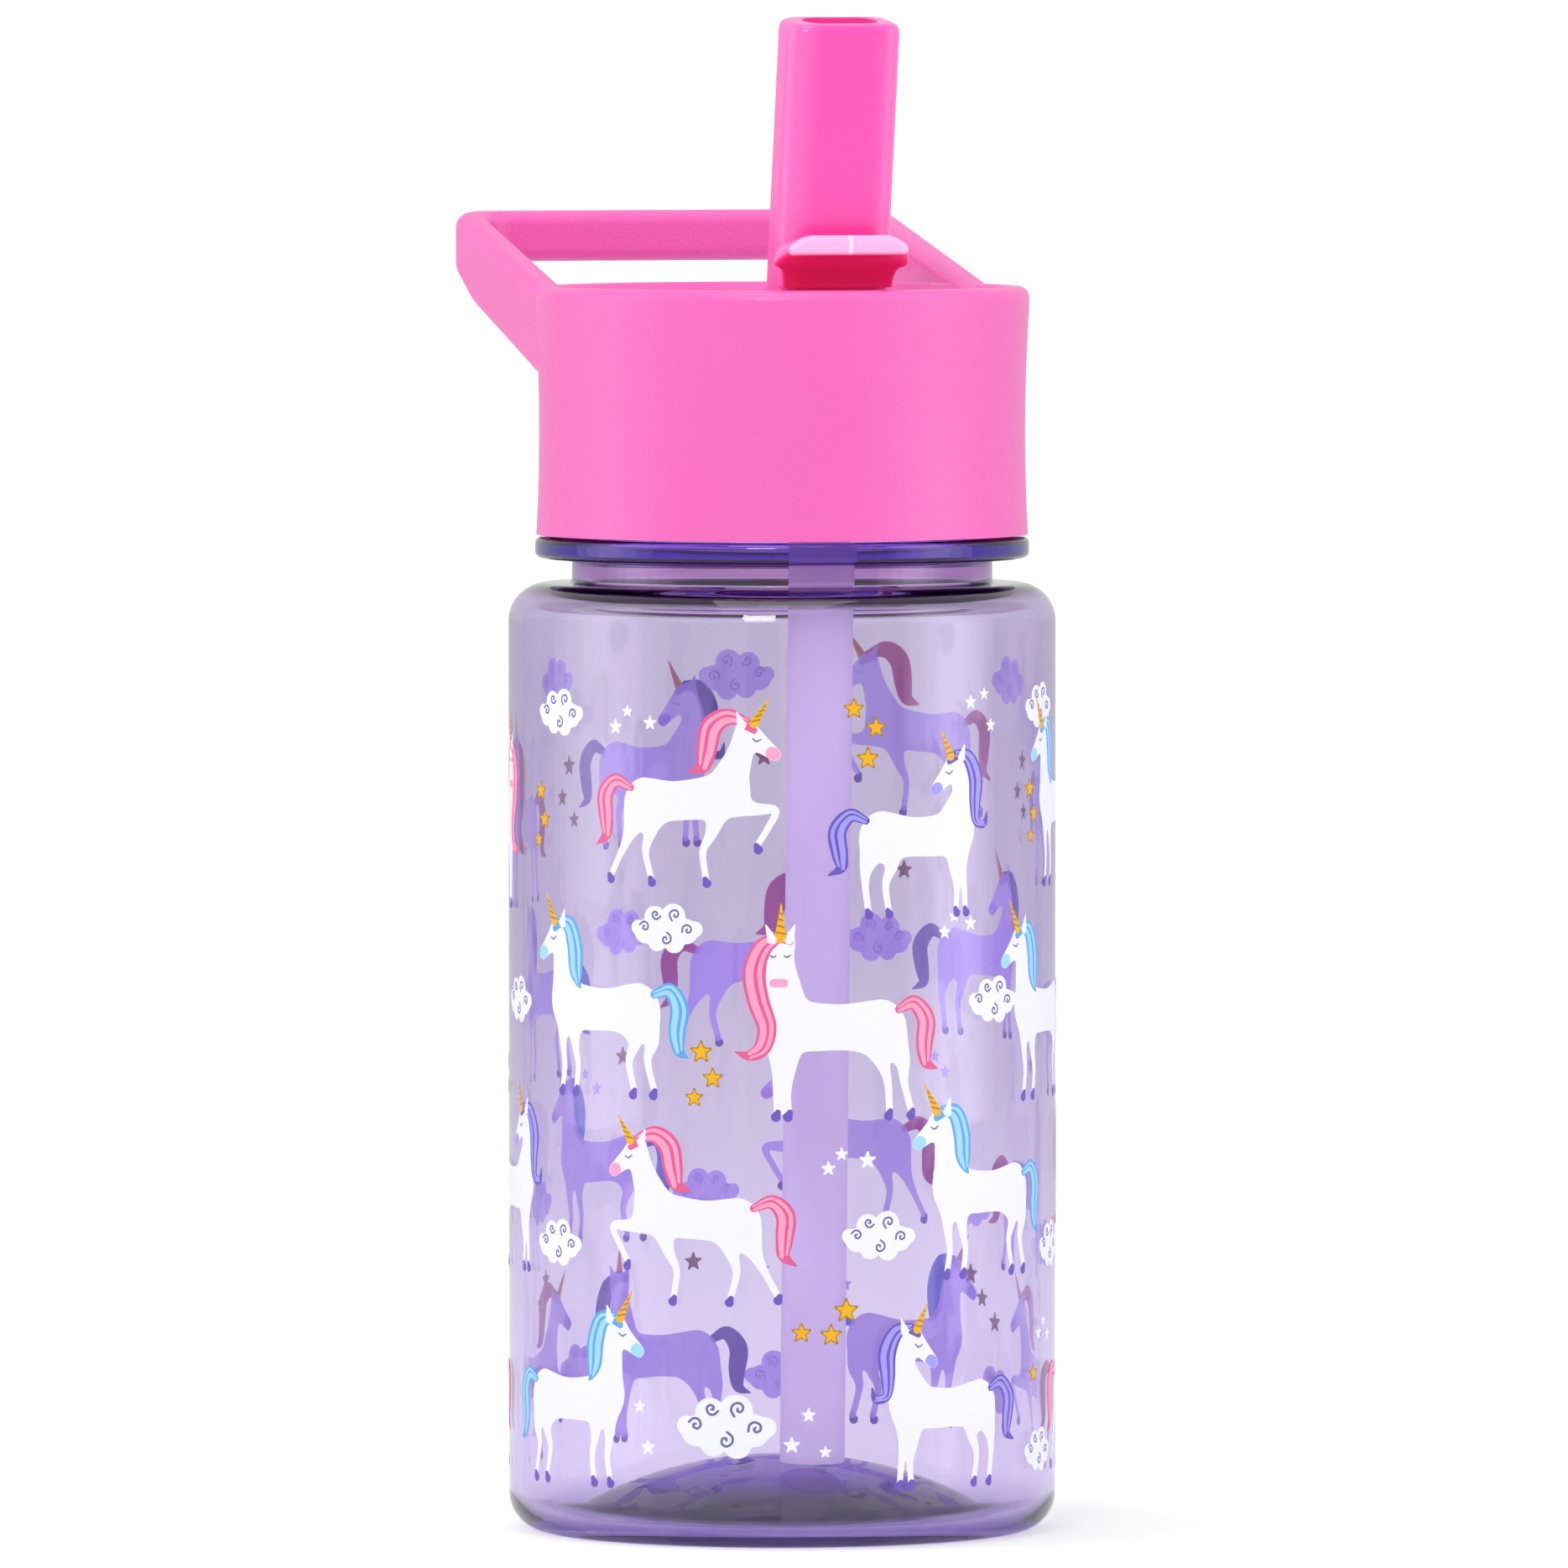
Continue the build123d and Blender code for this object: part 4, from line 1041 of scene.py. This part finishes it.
def build_light(name, place, size, power, target=(0, 0, 0.1)):
    data = bpy.data.lights.new(name, "AREA")
    data.shape = "RECTANGLE"
    data.size, data.size_y = size
    data.energy = power
    lamp = bpy.data.objects.new(name, data)
    lamp.location = place
    lamp.rotation_euler = (Vector(target) - Vector(place)).to_track_quat("-Z", "Y").to_euler()
    bpy.context.scene.collection.objects.link(lamp)


def build_sky():
    """White surroundings, brighter in front of the object than behind it."""
    world = bpy.data.worlds.new("studio")
    bpy.context.scene.world = world
    world.use_nodes = True
    tree = world.node_tree
    start = Shade(tree, None)
    way = start.node("ShaderNodeSeparateXYZ", Vector=start.node("ShaderNodeTexCoord").outputs["Generated"])
    x, y = (Shade(tree, way.outputs[axis]) for axis in "XY")
    turn = math.radians(VIEW_TURN)
    front = (x * math.sin(turn) - y * math.cos(turn)).smooth(-0.7, 0.8)
    back = tree.nodes["Background"]
    back.inputs["Color"].default_value = (1.0, 1.0, 1.0, 1.0)
    plug(tree, back.inputs["Strength"], front * (SKY_FRONT - SKY_BACK) + SKY_BACK)


def build_softbox(name, azimuth, widths, glow):
    """A tall light that stands at the object's side and is brighter towards its middle."""
    way = Vector((math.sin(math.radians(azimuth)), -math.cos(math.radians(azimuth)), 0))
    for step, width in enumerate(widths):
        place = way * (SOFTBOX_AWAY + 0.002 * step)
        place.z = SOFTBOX_TALL / 2
        power = glow * math.pi * width * SOFTBOX_TALL
        build_light(f"{name}_{step}", place, (width, SOFTBOX_TALL), power, (0, 0, SOFTBOX_TALL / 2))


def build_floor():
    """White paper; what shows through the bottle is the grey of the paper behind it. A soft shade near the
    bottle is painted into the paper's glow.
    """
    half = 60.0
    mesh = bpy.data.meshes.new("floor")
    mesh.from_pydata(
        [(-half, -half, 0), (half, -half, 0), (half, half, 0), (-half, half, 0)], [], [(0, 1, 2, 3)]
    )
    floor = bpy.data.objects.new("floor", mesh)
    bpy.context.scene.collection.objects.link(floor)
    paper = Finish("floor_paper", Roughness=0.9, Specular_IOR_Level=0.0)
    paper.set("Base Color", (0.45, 0.45, 0.45))
    paper.set("Emission Color", (1.0, 1.0, 1.0))
    # painted shadow: the paper glows less near the bottle's foot
    x, y = (paper.axis(name) for name in "XY")
    x, y = x - FLOOR_SHADE_X, y - FLOOR_SHADE_Y
    away = (x * x + y * y) ** 0.5
    paper.set("Emission Strength", away.smooth(*FLOOR_SHADE_EDGE) * FLOOR_GLOW_RISE + FLOOR_GLOW)
    behind = paper.shade("ShaderNodeBsdfDiffuse", Color=(0.88, 0.88, 0.89, 1.0))
    path = paper.shade("ShaderNodeLightPath")
    swap = paper.tree.nodes.new("ShaderNodeMixShader")
    paper.tree.links.new(path.outputs["Is Camera Ray"], swap.inputs[0])
    paper.tree.links.new(behind.outputs[0], swap.inputs[1])
    paper.tree.links.new(paper.shader.outputs[0], swap.inputs[2])
    paper.tree.links.new(swap.outputs[0], paper.output.inputs["Surface"])
    mesh.materials.append(paper.material)


def build_studio():
    build_sky()
    build_softbox("side_left", -104, (0.66, 0.42, 0.20), 0.56)
    build_softbox("side_right", 58, (0.62, 0.40, 0.20), 0.60)
    build_light("key", (-0.55, -1.0, 0.95), (0.3, 0.3), 5.0)
    build_light("top", (-0.05, -0.1, 1.2), (0.6, 0.6), 2.6)
    build_floor()


CAMERA_AWAY = 2.5
CAMERA_ASIDE = 0.00024
CAMERA_HEIGHT = 0.209
CAMERA_DIP = 2.6  # degrees below level
CAMERA_LENS = 449.0
FLOOR_SHADE_X = 0.016  # the middle of the soft shade painted under the bottle
FLOOR_SHADE_Y = 0.002
FLOOR_SHADE_EDGE = (0.030, 0.080)
FLOOR_GLOW = 0.48  # in the shade's middle
FLOOR_GLOW_RISE = 0.28
SKY_FRONT = 0.84
SKY_BACK = 0.80
SOFTBOX_AWAY = 0.75
SOFTBOX_TALL = 0.9


# ------------------------------------------------------------------ assembly
build_camera()
build_studio()
bpy.context.scene.view_settings.view_transform = "Standard"

build_bottle()
build_print()


def dress(node, material):
    mesh = nodes[node].data
    mesh.materials.clear()
    mesh.materials.append(material)


silicone = silicone_finish()
dress("lid_shell", pink_lid_finish())
dress("lid_liner", pink_liner_finish())
dress("spout", pink_spout_finish())
dress("straw", straw_finish())
for soft in ("lid_gasket", "spout_seat", "vent_valve"):
    dress(soft, silicone)
